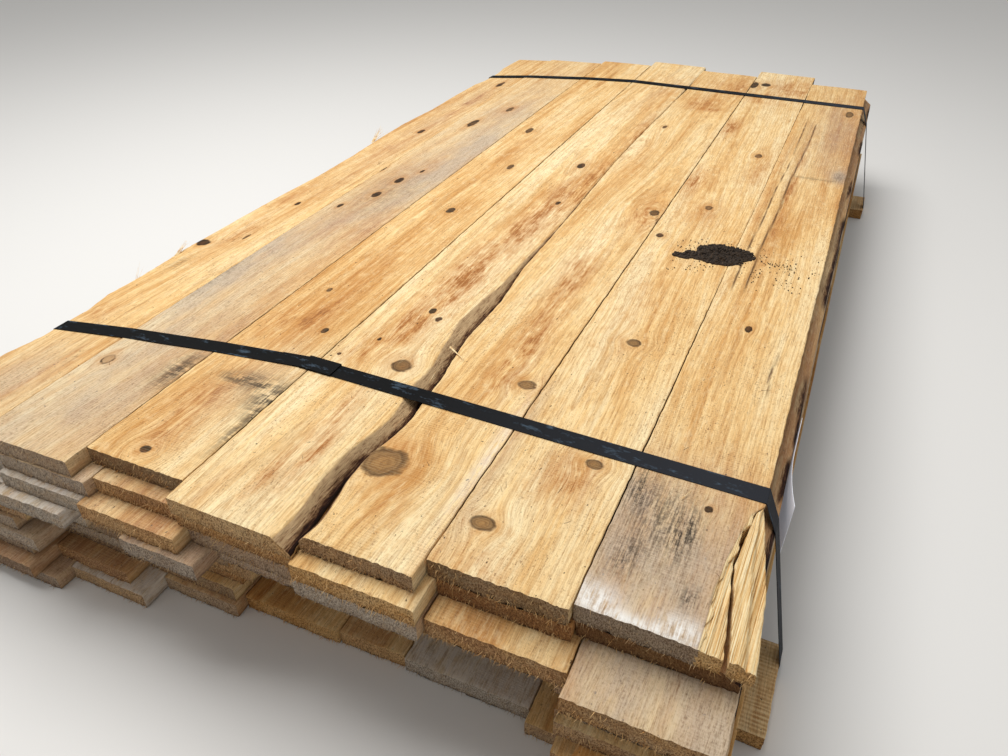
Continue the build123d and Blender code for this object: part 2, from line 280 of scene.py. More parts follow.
# Rough-sawn western red cedar: cream to tan faces with orange heartwood zones, soft rings,
# fine dark fibre lines and faint saw lines across, knots with broken dark rims,
# and grey weathering, soot and whitish mould where the photographed boards have them
def sawnCedar(look, name="roughSawnCedar"):
    material, add, shader = newMaterial(name)
    place = add("ShaderNodeTexCoord")["Object"]
    colour, fibre, _ = cedarColour(add, look)
    blotch = sized(add, place, (48, 120, 48), detail=5.0, roughness=0.65)
    mottle = sized(add, place, (13, 24, 13), detail=4.0, roughness=0.65)
    fleck = sized(add, place, (2.2, 4.6, 2.2), detail=4.0, roughness=0.76)
    colour = add("mix", add("range", mottle, 0.50, 0.72, 0.0, 0.42), colour, look["tan"])
    colour = add("mix", add("range", mottle, 0.46, 0.28, 0.0, 0.35), colour, look["cream"])

    # Orange heartwood and brown stain, in clouds drawn out along the grain
    drawn = sized(add, place, (5, 80, 5), detail=4.0, roughness=0.65)
    cloud = add("plus", add("times", blotch, 0.5), add("times", mottle, 0.3),
                add("times", drawn, 0.45), add("times", fibre, 0.4))
    red = add("times", add("read", "redStain"), add("range", cloud, 0.68, 0.94))
    colour = add("mix", add("times", red, 1.1, use_clamp=True), colour, look["heart"])
    deepest = add("range", add("times", red, add("range", mottle, 0.3, 0.6, 0.5, 1.1)),
                  0.5, 1.0, 0.0, 0.7)
    colour = add("mix", deepest, colour, look["heartDark"])

    # Small torn places and dirt caught in them
    torn = add("plus", 0.3, add("range", blotch, 0.42, 0.66))
    colour = add("mix", add("times", add("range", fleck, 0.56, 0.68), torn, 0.85), colour,
                 look["torn"])
    specks = sized(add, place, (4.5, 7, 4.5), detail=2.0, roughness=0.5)
    colour = add("mix", add("range", specks, 0.72, 0.75, 0.0, 0.9), colour, look["knotRim"])

    # Grey weathering, then soot, grime and whitish mould, each broken up by two patterns
    greyness = add("times", add("read", "greyStain"), add("range", blotch, 0.25, 0.62, 0.5, 1.2),
                   use_clamp=True)
    weathered = add("plus", add("times", fibre, 0.5), add("times", fleck, 0.5))
    weathered = add("mix", add("range", weathered, 0.47, 0.66), look["grey"], look["greyFibre"])
    colour = add("mix", add("times", greyness, 0.78), colour, weathered)
    dash = sized(add, place, (2.2, 26, 2.2), detail=2.0, roughness=0.6)
    drag = sized(add, place, (2.2, 44, 2.2), detail=5.0, roughness=0.72)
    smudge = sized(add, place, (26, 7, 26), detail=4.0, roughness=0.7)
    dots = sized(add, place, (3.2, 5, 3.2), detail=3.0, roughness=0.65)
    for stain, coarse, fine, low, high, strength, shade in (
            ("darkStain", (smudge, 0.65), (dash, 0.35), 0.41, 0.55, 0.9, "soot"),
            ("grime", (drag, 0.6), (dots, 0.4), 0.44, 0.57, 0.95, "soot"),
            ("whiteStain", (mottle, 0.7), (drag, 0.7), 0.56, 0.75, 0.95, "mould")):
        pattern = add("plus", add("times", *coarse), add("times", *fine))
        stained = add("times", add("read", stain), add("range", pattern, low, high))
        colour = add("mix", add("times", stained, strength, use_clamp=True), colour, look[shade])

    # Knots: knotRadius is 1 at the rim and grows away from it
    wobble = sized(add, place, (13, 15, 13), detail=2.0, roughness=0.5)
    broken = sized(add, place, (16, 16, 16), detail=2.0)
    shade = add("read", "knotShade")
    isOpen = add("read", "knotOpen")  # a bare ring round wood of the board's colour
    edge = add("plus", add("read", "knotRadius"), add("range", wobble, 0.2, 0.8, -0.17, 0.17))
    inside = add("range", edge, 1.06, 0.86)
    halo = add("range", edge, 2.8, 0.9)
    rim = add("times", add("range", edge, 0.74, 0.9), add("range", edge, 1.16, 1.03),
              add("range", broken, 0.4, 0.58, 0.35, 1.0),
              add("most", isOpen, add("range", shade, 0.0, 0.8, 0.75, 1.0)))
    rings = add("sine", add("times", add("plus", edge, add("times", wobble, 0.3)), 20.0))
    core = add("mix", add("range", edge, 0.25, 0.92), look["knotHeart"], look["knot"])
    core = add("mix", add("range", rings, -0.6, 1.0, 0.0, 0.5), core, look["knotRing"])
    core = add("mix", add("range", fleck, 0.52, 0.68, 0.0, 0.35), core, look["knotRim"])
    rotten = add("mix", add("range", wobble, 0.46, 0.66), *look["rot"])
    decay = add("times", add("times", shade, 1.35), add("range", broken, 0.3, 0.6, 0.8, 1.0),
                use_clamp=True)
    core = add("mix", decay, core, rotten)
    colour = add("mix", add("times", halo, add("range", mottle, 0.3, 0.6, 0.1, 0.5)), colour,
                 look["orange"])
    colour = add("mix", add("times", inside, add("minus", 0.95, add("times", isOpen, 0.55))),
                 colour, core)
    colour = add("mix", add("times", rim, 0.85), colour, look["knotRim"])
    colour = add("mix", add("read", "crack"), colour, look["crack"])

    # Saw lines across the board, uneven in spacing and strength
    along = add("ShaderNodeSeparateXYZ", {"Vector": place})[1]
    jitter = sized(add, place, (120, 14, 120), detail=2.0)
    saw = add("sine", add("times", add("plus", along, add("times", jitter, 9 * mm)),
                          2 * math.pi / look["sawSpacing"]))
    patchy = add("times", add("range", blotch, 0.36, 0.6),
                 add("range", mottle, 0.35, 0.55, 0.3, 1.0))
    sawing = add("times", add("read", "sawMarks"), patchy)
    colour = add("mix", add("times", add("range", saw, 0.1, 1.0), sawing, 0.22), colour,
                 look["latewood"])
    colour = add("mix", add("times", add("range", saw, -0.2, -1.0), sawing, 0.18), colour,
                 look["cream"])

    # Bark and torn inner bark on a waney edge, dark low down and pale where it has worn
    bark = add("read", "bark")
    strands = sized(add, place, (1.3, 24, 1.3), detail=5.0, roughness=0.75)
    scales = sized(add, place, (6, 15, 6), detail=3.0, roughness=0.6)
    worn = add("plus", add("times", strands, 0.75), add("times", scales, 0.3))
    worn = add("minus", worn, add("times", add("read", "barkDepth"), 0.34))
    barkColour = add("ramp", worn, [(0.22, look["barkDeep"]), (0.32, look["barkDark"]),
                                    (0.42, look["bark"]), (0.53, look["barkPale"])])
    patch = add("range", add("plus", bark, add("times", strands, 0.5)), 0.55, 0.85)
    colour = add("mix", patch, colour, barkColour)

    # Painted shade: the sides and ends are darker low down on each board, and the sides are darker
    # beyond the near end, where they lie against the next board
    colour = add("mix", add("times", add("read", "underShade"), 0.55), colour, look["paintedShade"])
    colour = add("mix", add("times", add("read", "seamDirt"), 0.85), colour, look["paintedShade"])

    # Freshly split wood: bright, with long raised fibres
    slanted = add("ShaderNodeVectorRotate", {"Vector": place, "Angle": look["splitTurn"]},
                  rotation_type="Z_AXIS")[0]
    splitFibre = sized(add, slanted, (1.1, 150, 3), detail=4.0, roughness=0.6)
    frayed = add("plus", add("read", "fresh"), add("range", splitFibre, 0.3, 0.7, -0.3, 0.3))
    fresh = add("range", frayed, 0.42, 0.58)
    splitColour = add("ramp", splitFibre, look["split"])
    splitColour = add("mix", add("range", mottle, 0.56, 0.72, 0.0, 0.35), splitColour,
                      look["splitShade"])
    colour = add("mix", fresh, colour, splitColour)

    height = add("plus", add("times", fibre, 1.2), add("times", saw, sawing, 0.2),
                 add("times", fleck, 1.1))
    height = add("minus", height, add("times", rim, 0.9))
    height = add("plus", height, add("times", worn, bark, 4.0),
                 add("times", splitFibre, fresh, 2.4))
    bump = add("ShaderNodeBump", {"Height": height, "Strength": 0.9, "Distance": 0.9 * mm})[0]
    fill(shader, {"Base Color": colour, "Roughness": 0.85, "Specular IOR Level": 0.2,
                  "Normal": bump})
    return material


# Sawn board ends: golden to dark brown, torn fibres standing off the cut, rings as arcs
def sawnEnd(look):
    material, add, shader = newMaterial("sawnCedarEnd")
    place = add("ShaderNodeTexCoord")["Object"]
    colour, _, late = cedarColour(add, look)
    blotch = sized(add, place, (40, 40, 22), detail=4.0, roughness=0.65)
    torn = sized(add, place, (1.4, 3, 2.6), detail=3.0, roughness=0.7)
    endTone = add("plus", add("read", "endTone"), add("range", blotch, 0.3, 0.7, -0.18, 0.18))
    colour = add("mix", 0.72, colour, add("ramp", endTone, look["end"]))
    colour = add("mix", add("times", late, 0.30), colour, look["endRings"])
    colour = add("mix", add("range", torn, 0.54, 0.36, 0.0, 0.85), colour, look["endPits"])
    raised = add("times", add("range", torn, 0.56, 0.72, 0.0, 0.65),
                 add("range", endTone, 0.3, 1.1, 1.0, 0.1))
    colour = add("mix", raised, colour, look["endFibre"])
    greyness = add("times", add("read", "endGrey"), add("range", blotch, 0.25, 0.5, 0.6, 1.08))
    grey = add("mix", add("range", torn, 0.38, 0.62), *look["endGrey"])
    colour = add("mix", add("least", greyness, 1.0), colour, grey)
    shade = add("times", add("read", "underShade"), add("range", torn, 0.6, 0.35, 0.3, 0.7))
    colour = add("mix", shade, colour, look["endShade"])
    bump = add("ShaderNodeBump", {"Height": torn, "Strength": 1.0, "Distance": 1.3 * mm})[0]
    fill(shader, {"Base Color": colour, "Roughness": 0.92, "Specular IOR Level": 0.15,
                  "Normal": bump})
    return material


# Loose fibres and splinters of the same wood, pale because they are freshly torn
def looseFibre(name, pale, dark):
    material, add, shader = newMaterial(name)
    place = add("ShaderNodeTexCoord")["Object"]
    vary = sized(add, place, (9, 9, 9), detail=2.0)
    colour = add("ramp", vary, [(0.35, dark), (0.65, pale)])
    colour = add("mix", add("times", add("read", "endGrey"), 0.85), colour, cedarLook["looseGrey"])
    fill(shader, {"Base Color": colour, "Roughness": 0.8})
    return material


# How a board's corners are told apart
cornerRules = {
    "same": 0.01 * mm,  # points closer than this are one corner
    "lowBand": 11 * mm,  # corners this far over the lowest still belong to the underside
    "sideBand": 45 * mm,  # and this far from a side's straight line to its edge
    "endBand": 4 * mm,
}


# The separate solids of a CAD node, each as its corner points, from left to right
def solidsOf(nodeName):
    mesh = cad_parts[nodeName].data
    points = np.array([v.co for v in mesh.vertices], float)
    keys = np.round(points / cornerRules["same"]).astype(np.int64)
    _, first, same = np.unique(keys, axis=0, return_index=True, return_inverse=True)
    same = same.reshape(-1)
    parent = list(range(len(first)))

    def root(i):
        while parent[i] != i:
            parent[i] = parent[parent[i]]
            i = parent[i]
        return i
    for polygon in mesh.polygons:
        a, b, c = (root(same[i]) for i in polygon.vertices)
        parent[b] = a
        parent[root(c)] = a
    groups = {}
    for i in range(len(first)):
        groups.setdefault(root(i), []).append(first[i])
    solids = [points[members] for members in groups.values()]
    return sorted(solids, key=lambda p: p[:, 0].mean())


# The lowest line under points sorted from left to right, which leaves out waney slopes
def lowerHull(places):
    hull = []
    for x, z in places:
        while len(hull) > 1 and ((hull[-1][0] - hull[-2][0]) * (z - hull[-2][1])
                                 <= (hull[-1][1] - hull[-2][1]) * (x - hull[-2][0])):
            hull.pop()
        hull.append((x, z))
    return hull


# Outline of a board in plan and its two faces, read from its CAD corners
def readBoard(corners):
    rules = cornerRules
    x, y, z = corners.T
    board = {
        "nearLeft": corners[np.argmin(x + y)], "nearRight": corners[np.argmax(x - y)],
        "farRight": corners[np.argmax(x + y)], "farLeft": corners[np.argmin(x - y)],
    }
    low = z < z.min() + rules["lowBand"]
    middle = (board["nearLeft"][0] + board["nearRight"][0]) / 2
    for side in ("Left", "Right"):
        a, b = board["near" + side], board["far" + side]
        straight = a[0] + (b[0] - a[0]) * (y - a[1]) / (b[1] - a[1])
        beside = low & (np.abs(x - straight) < rules["sideBand"])
        beside &= (y > a[1] + rules["endBand"]) & (y < b[1] - rules["endBand"])
        beside &= (x < middle) if side == "Left" else (x > middle)
        ys = np.concatenate([[a[1]], y[beside], [b[1]]])
        xs = np.concatenate([[a[0]], x[beside], [b[0]]])
        order = np.argsort(ys)
        board["edge" + side] = (ys[order], xs[order])
    floors = {}
    for px, pz in zip(x[low], z[low]):
        key = round(px / (0.5 * mm))
        floors[key] = (px, min(pz, floors.get(key, (px, pz))[1]))
    board["xs"], board["under"] = np.array(lowerHull(sorted(floors.values()))).T
    highest = np.argmax(z)
    board["thick"] = z[highest] - np.interp(x[highest], board["xs"], board["under"])
    return board


# A narrow part of a board between two drawn edges, each a list of (across, along)
def partBoard(board, left, right):
    part = dict(board)
    for side, line in (("Left", left), ("Right", right)):
        xs, ys = np.array(line).T
        part["edge" + side] = (ys, xs)
        part["near" + side] = np.array([xs[0], ys[0], 0])
        part["far" + side] = np.array([xs[-1], ys[-1], 0])
    return part


# Moves one edge of a board to the right along its length, by (along, to the right) in mm
def moveEdge(board, look):
    if "seam" in look:
        side, line = look["seam"]
        ys, xs = board["edge" + side]
        dense = np.linspace(ys[0], ys[-1], 240)
        along, out = np.array(line, float).T * mm
        board["edge" + side] = (dense, np.interp(dense, ys, xs) + np.interp(dense, along, out))
    return board


# How far from a strap an edge keeps its CAD line, and how far on it takes to leave it fully
strapRoom = {"bare": 2 * mm, "fade": 50 * mm}


# From 0 beside a strap to 1 away from it, so that no edge grows through the steel
def strapClear(y, x):
    clear = np.ones_like(y)
    for name in ("front_strap", "rear_strap"):
        sx, sy, _ = np.array([v.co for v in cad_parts[name].data.vertices]).T
        slope, start = np.polyfit(sx, sy, 1)
        half = np.abs(sy - slope * sx - start).max()
        away = np.abs(y - slope * x - start) - half
        clear = np.minimum(clear, share((away - strapRoom["bare"]) / strapRoom["fade"]))
    return clear


# The quads between the rows and columns of a grid of point numbers
def gridQuads(grid, flipped=False):
    a, b, c, e = grid[:-1, :-1], grid[:-1, 1:], grid[1:, 1:], grid[1:, :-1]
    return np.stack((a, e, c, b) if flipped else (a, b, c, e), -1).reshape(-1, 4)


# Wear and unevenness of all boards
boardDetail = {
    "arris": 1.2 * mm,
    "endRagged": 0.45 * mm,
    "sideRough": 0.5 * mm,
    "cup": 0.4 * mm,
    "ridge": 3.2 * mm,  # width of a ridge in split wood
    "unshadedEnd": 75 * mm,  # beyond it the sides get painted shade, as in the seams
}


# Stations along a board: dense at the near end and wider and wider apart beyond it
def stations(length, first, growth, widest):
    places, step = [0.0], first
    while places[-1] < length:
        places.append(places[-1] + step)
        step = min(step * growth, widest)
    return np.array(places) / places[-1]


# The top face of a board as a fine grid: places across, along and up, and the underside's
# height below each. Its first row is the near end and its first column the left arris.
def topFace(board, seed, mesh, look):
    d = boardDetail
    cell, first, growth, widest, _ = mesh
    nearLeft, nearRight = board["nearLeft"], board["nearRight"]
    farLeft, farRight = board["farLeft"], board["farRight"]
    width = nearRight[0] - nearLeft[0]
    length = farLeft[1] - nearLeft[1]
    along = stations(length, first, growth, widest)
    inner = np.linspace(0, 1, max(4, int(round(width / cell))) + 1)
    bevel = d["arris"] / width
    across = np.concatenate([[0, bevel * 0.4, bevel], inner[1:-1], [1 - bevel, 1 - bevel * 0.4, 1]])
    s, t = np.meshgrid(across, along)  # rows along the board
    yNear = nearLeft[1] + (nearRight[1] - nearLeft[1]) * s
    yFar = farLeft[1] + (farRight[1] - farLeft[1]) * s
    y = yNear + (yFar - yNear) * t
    left, right = (np.interp(y, *board["edge" + side]) for side in ("Left", "Right"))
    left = left + d["sideRough"] * softNoise(y / (9 * mm), 0, seed + 3)
    right = right + d["sideRough"] * softNoise(y / (9 * mm), 0, seed + 4)
    if "leftBulge" in look:
        ys, out = np.array(look["leftBulge"], float).T * mm
        left = left - np.interp(y, ys, out) * strapClear(y, nearLeft[0])
    tear = look.get("tornRight", 0.0) * share((nearLeft[1] + 200 * mm - y) / (20 * mm))
    right = right + tear * (softNoise(y / (13 * mm), 0, seed + 17)
                            + 0.6 * softNoise(y / (4 * mm), 0, seed + 18))
    x = left + (right - left) * s
    under = np.interp(x, board["xs"], board["under"])
    z = under + board["thick"] - look.get("lower", 0.0)
    for side, line in look.get("wane", []):
        reach, depth = waneAt(line, y, seed)
        gap = (right - x) if side == "Right" else (x - left)
        drop = share(1 - gap / reach) ** 0.85 * depth
        lumps = softNoise(x / (4 * mm), y / (18 * mm), seed + 9) * share(drop / (3 * mm))
        z = z - drop + (lumps - 1) * 0.7 * mm * share(drop / (2 * mm))
    if "ridges" in look:
        ridges = softNoise(x / d["ridge"], y / (90 * mm), seed + 21)
        fine = softNoise(x / (d["ridge"] * 0.4), y / (60 * mm), seed + 22)
        z = z + look["ridges"] * (ridges * 0.7 + fine * 0.3 - 0.6)
    for rx, y0, y1, reach, lift in look.get("swells", []):
        away = share(1 - np.abs(x - rx * mm) / (reach * mm))
        end = share((y - y0 * mm) / (60 * mm)) * share((y1 * mm - y) / (60 * mm))
        z = z + away * end * lift * mm
    if "facet" in look:
        place, fall = look["facet"]
        z = z - share((s - place) / 0.12) * fall
    fromEdge = np.minimum(x - left, right - x)
    z = z - share(1 - fromEdge / d["arris"]) ** 1.5 * d["arris"] * (
        0.7 + 0.5 * softNoise(y / (14 * mm), s * 3, seed + 5))
    z = z + d["cup"] * softNoise(x / (70 * mm), y / (240 * mm), seed + 6) - d["cup"]
    ragged = d["endRagged"] * look.get("ragged", 1.0) * (
        softNoise(x / (7 * mm), 0, seed + 1) + 0.9 * softNoise(x / (2.4 * mm), 0, seed + 2))
    nearness = share(1 - t * length / (10 * mm))
    farness = share(1 - (1 - t) * length / (10 * mm))
    y = y + ragged * (nearness + farness)
    z = z - (share(1 - t * length / (3 * mm)) ** 2
             + share(1 - (1 - t) * length / (3 * mm)) ** 2) * 0.7 * mm
    return x, y, z, under


# One board as a closed mesh. Its top face is a fine grid, its ends are grids, its sides have
# a few rows and its underside is plain. look holds what the materials read.
def buildBoard(board, seed, mesh, look):
    d, rows = boardDetail, mesh[-1]
    x, y, z, under = topFace(board, seed, mesh, look)
    nx, ny = x.shape[1] - 1, x.shape[0] - 1
    points = [np.stack([x, y, z], -1).reshape(-1, 3)]
    top = np.arange(x.size).reshape(x.shape)
    count = top.size
    faces, ends = [gridQuads(top)], []

    def addPoints(block):
        nonlocal count
        index = np.arange(count, count + len(block))
        points.append(block)
        count += len(block)
        return index

    # Sides
    sides = {}
    for side, i, out in (("Left", 0, -1), ("Right", nx, 1)):
        grid = [top[:, i]]
        for k in range(1, rows + 1):
            zs = z[:, i] + (under[:, i] - z[:, i]) * k / rows
            push = d["sideRough"] * softNoise(y[:, i] / (11 * mm), k * 1.7, seed + 11)
            xs = x[:, i] + out * (push if k < rows else -0.4 * mm)
            grid.append(addPoints(np.stack([xs, y[:, i], zs], -1)))
        sides[side] = np.array(grid)
        faces.append(gridQuads(sides[side], side == "Right"))

    # Ends
    bottoms = {}
    for end, j, out in (("near", 0, -1), ("far", ny, 1)):
        grid = [top[j]]
        for k in range(1, rows + 1):
            zs = z[j] + (under[j] - z[j]) * k / rows
            rough = softNoise(x[j] / (3 * mm), zs / (4 * mm), seed + 13)
            ys = y[j] + out * 0.7 * mm * rough * look.get("ragged", 1.0)
            middle = addPoints(np.stack([x[j], ys, zs], -1)[1:-1])
            grid.append(np.concatenate([[sides["Left"][k, j]], middle, [sides["Right"][k, j]]]))
        bottoms[end] = grid[-1]
        ends.append(gridQuads(np.array(grid), end == "near"))

    # Underside
    lowLeft, lowRight = sides["Left"][-1], sides["Right"][-1]
    below = gridQuads(np.array([lowLeft, lowRight]).T[1:-1], True)
    half = nx // 2
    fans = []
    for end, beyond in (("near", 1), ("far", ny - 1)):
        row = bottoms[end]
        fan = [(row[i], row[i + 1], lowLeft[beyond]) for i in range(half)]
        fan += [(row[i], row[i + 1], lowRight[beyond]) for i in range(half, nx)]
        fan.append((row[half], lowRight[beyond], lowLeft[beyond]))
        fan = np.array(fan)
        fans.append(fan if end == "far" else fan[:, ::-1])
    points = np.concatenate(points)
    values = boardValues(points, board, seed, look)
    # Painted shade on the sides beyond the near end, where they lie against the next board
    values["seamDirt"] = np.zeros(len(points))
    for grid in sides.values():
        low = grid[1:].reshape(-1)
        shadow = points[low, 1] > board["nearLeft"][1] + d["unshadedEnd"]
        values["seamDirt"][low] = shadow * look.get("seamDirt", 1.0)
    blocks = faces + ends + [below]
    isEnd = [0] * len(faces) + [1] * len(ends) + [0]
    return {"points": points, "quads": np.concatenate(blocks),
            "kinds": np.repeat(isEnd, [len(block) for block in blocks]),
            "tris": np.concatenate(fans), "values": values}


# Reach and depth of a waney slope at each place along, from (along, reach, depth) in mm
def waneAt(line, y, seed):
    ys, reach, depth = np.array(line, float).T * mm
    uneven = 1 + 0.3 * softNoise(y / (60 * mm), 0, seed + 8)
    return np.interp(y, ys, reach) * uneven, np.interp(y, ys, depth)


# What the materials read at each point: its place in the tree, knots, stains and tone
def boardValues(points, board, seed, look):
    x, y, z = points.T
    rng = np.random.default_rng(1000 + seed)
    middle = (board["nearLeft"][0] + board["nearRight"][0]) / 2
    pithAcross = middle + rng.uniform(-60, 60) * mm  # where the middle of its tree was
    pithHeight = board["under"].mean() + rng.choice([-1, 1]) * rng.uniform(30, 95) * mm
    lean = rng.uniform(-0.025, 0.025)
    u = x - pithAcross - lean * (y + 1) + 3.5 * mm * softNoise(y / (260 * mm), 0, seed + 31)
    radius = np.full(len(x), 9.0)  # 9 is far from any knot
    shade = np.zeros(len(x))
    isOpen = np.zeros(len(x))
    for kx, ky, rx, ry, dark in look.get("knots", []):
        dx, dy = x - kx * mm, y - ky * mm
        r = np.sqrt((dx / (rx * mm)) ** 2 + (dy / (ry * mm)) ** 2)
        u = u - 0.85 * dx * np.exp(-(r / 2.4) ** 2)
        if dark >= 0:  # below 0 it only bends the grain
            shade[r < radius] = 0.15 if dark > 1 else dark
            isOpen[r < radius] = dark > 1
            radius = np.minimum(radius, r)
    values = {name: np.full(len(x), float(look.get(name, 0.0)))
              for name in ("greyStain", "darkStain", "grime", "redStain", "whiteStain",
                           "endTone", "endGrey", "fresh")}
    if "freshEdge" in look:
        gap = np.interp(y, *board["edgeRight"]) - x
        broken = share((board["nearLeft"][1] + 195 * mm - y) / (15 * mm))
        values["fresh"] = share(1 - gap / look["freshEdge"]) * broken
    for name, spots in look.get("stains", {}).items():
        for sx, sy, rx, ry, strength in spots:
            r = ((x - sx * mm) / (rx * mm)) ** 2 + ((y - sy * mm) / (ry * mm)) ** 2
            values[name] = share(values[name] + strength * np.exp(-r))
    bark = np.zeros(len(x))
    barkDepth = np.zeros(len(x))
    for side, line in look.get("wane", []):
        reach, depth = waneAt(line, y, seed)
        edge = np.interp(y, *board["edge" + side])
        gap = (edge - x) if side == "Right" else (x - edge)
        floor = np.interp(x, board["xs"], board["under"])
        cover = share((reach * 1.02 - gap) / (3 * mm)) * share(depth / (6 * mm))
        cover = cover * share((z - floor - 2 * mm) / (4 * mm))
        if "barkPatches" in look:
            patches = softNoise(y / (look["barkPatches"] * mm), gap / (12 * mm), seed + 15)
            patches = patches + 0.5 * softNoise(y / (9 * mm), gap / (5 * mm), seed + 16)
            cover = cover * share(0.55 + 1.4 * patches)
        bark = np.maximum(bark, cover)
        barkDepth = np.maximum(barkDepth, share(1 - gap / (reach * 0.6)))
    crack = np.zeros(len(x))
    for width, line in look.get("cracks", []):
        xs, ys = np.array(line, float).T * mm
        away = np.abs(x - np.interp(y, ys, xs)) / (width * mm)
        inside = share((y - ys[0]) / (30 * mm)) * share((ys[-1] - y) / (30 * mm))
        crack = np.maximum(crack, share(1.3 - away) * inside)
    values.update({
        "grainPlace": np.stack([u, y + seed * 7.3, z - pithHeight], -1),
        "knotRadius": radius, "knotShade": shade, "knotOpen": isOpen, "bark": bark,
        "barkDepth": barkDepth, "crack": crack,
        "underShade": share(1 - (z - np.interp(x, board["xs"], board["under"])) / (6 * mm)),
        "tone": np.full(len(x), look.get("tone", 0.35)),
        "sawMarks": np.full(len(x), look.get("sawMarks", 0.6)),
    })
    return values


# Joins built boards into one object with the two cedar materials
def boardObject(name, built, materials):
    starts = np.cumsum([0] + [len(b["points"]) for b in built])
    points = np.concatenate([b["points"] for b in built])
    quads = np.concatenate([b["quads"] + start for b, start in zip(built, starts)])
    tris = np.concatenate([b["tris"] + start for b, start in zip(built, starts)])
    kinds = np.concatenate([b["kinds"] for b in built] + [np.zeros(len(tris), int)])
    mesh = bpy.data.meshes.new(name)
    mesh.vertices.add(len(points))
    mesh.vertices.foreach_set("co", points.astype(np.float32).reshape(-1))
    corners = np.concatenate([quads.reshape(-1), tris.reshape(-1)]).astype(np.int32)
    mesh.loops.add(len(corners))
    mesh.loops.foreach_set("vertex_index", corners)
    firsts = np.concatenate([np.arange(len(quads)) * 4, len(quads) * 4 + np.arange(len(tris)) * 3])
    mesh.polygons.add(len(firsts))
    mesh.polygons.foreach_set("loop_start", firsts.astype(np.int32))
    mesh.polygons.foreach_set("material_index", kinds.astype(np.int32))
    mesh.update(calc_edges=True)
    for key in built[0]["values"]:
        block = np.concatenate([b["values"][key] for b in built]).astype(np.float32)
        isVector = block.ndim == 2
        layer = mesh.attributes.new(key, "FLOAT_VECTOR" if isVector else "FLOAT", "POINT")
        layer.data.foreach_set("vector" if isVector else "value", block.reshape(-1))
    for material in materials:
        mesh.materials.append(material)
    mesh.polygons.foreach_set("use_smooth", np.ones(len(firsts), bool))
    mesh.set_sharp_from_angle(angle=math.radians(40))
    return newObject(name, mesh)


# How far the photographed seam of boards 4 and 5 lies to the right of their lower CAD edges
seamOut = [(-900, 0), (-860, 2), (-817, 13), (-778, 23), (-731, 25), (-684, 28), (-628, 23),
           (-579, 19), (-533, 20), (-473, 17), (-411, 8), (-354, 1), (-290, 0)]

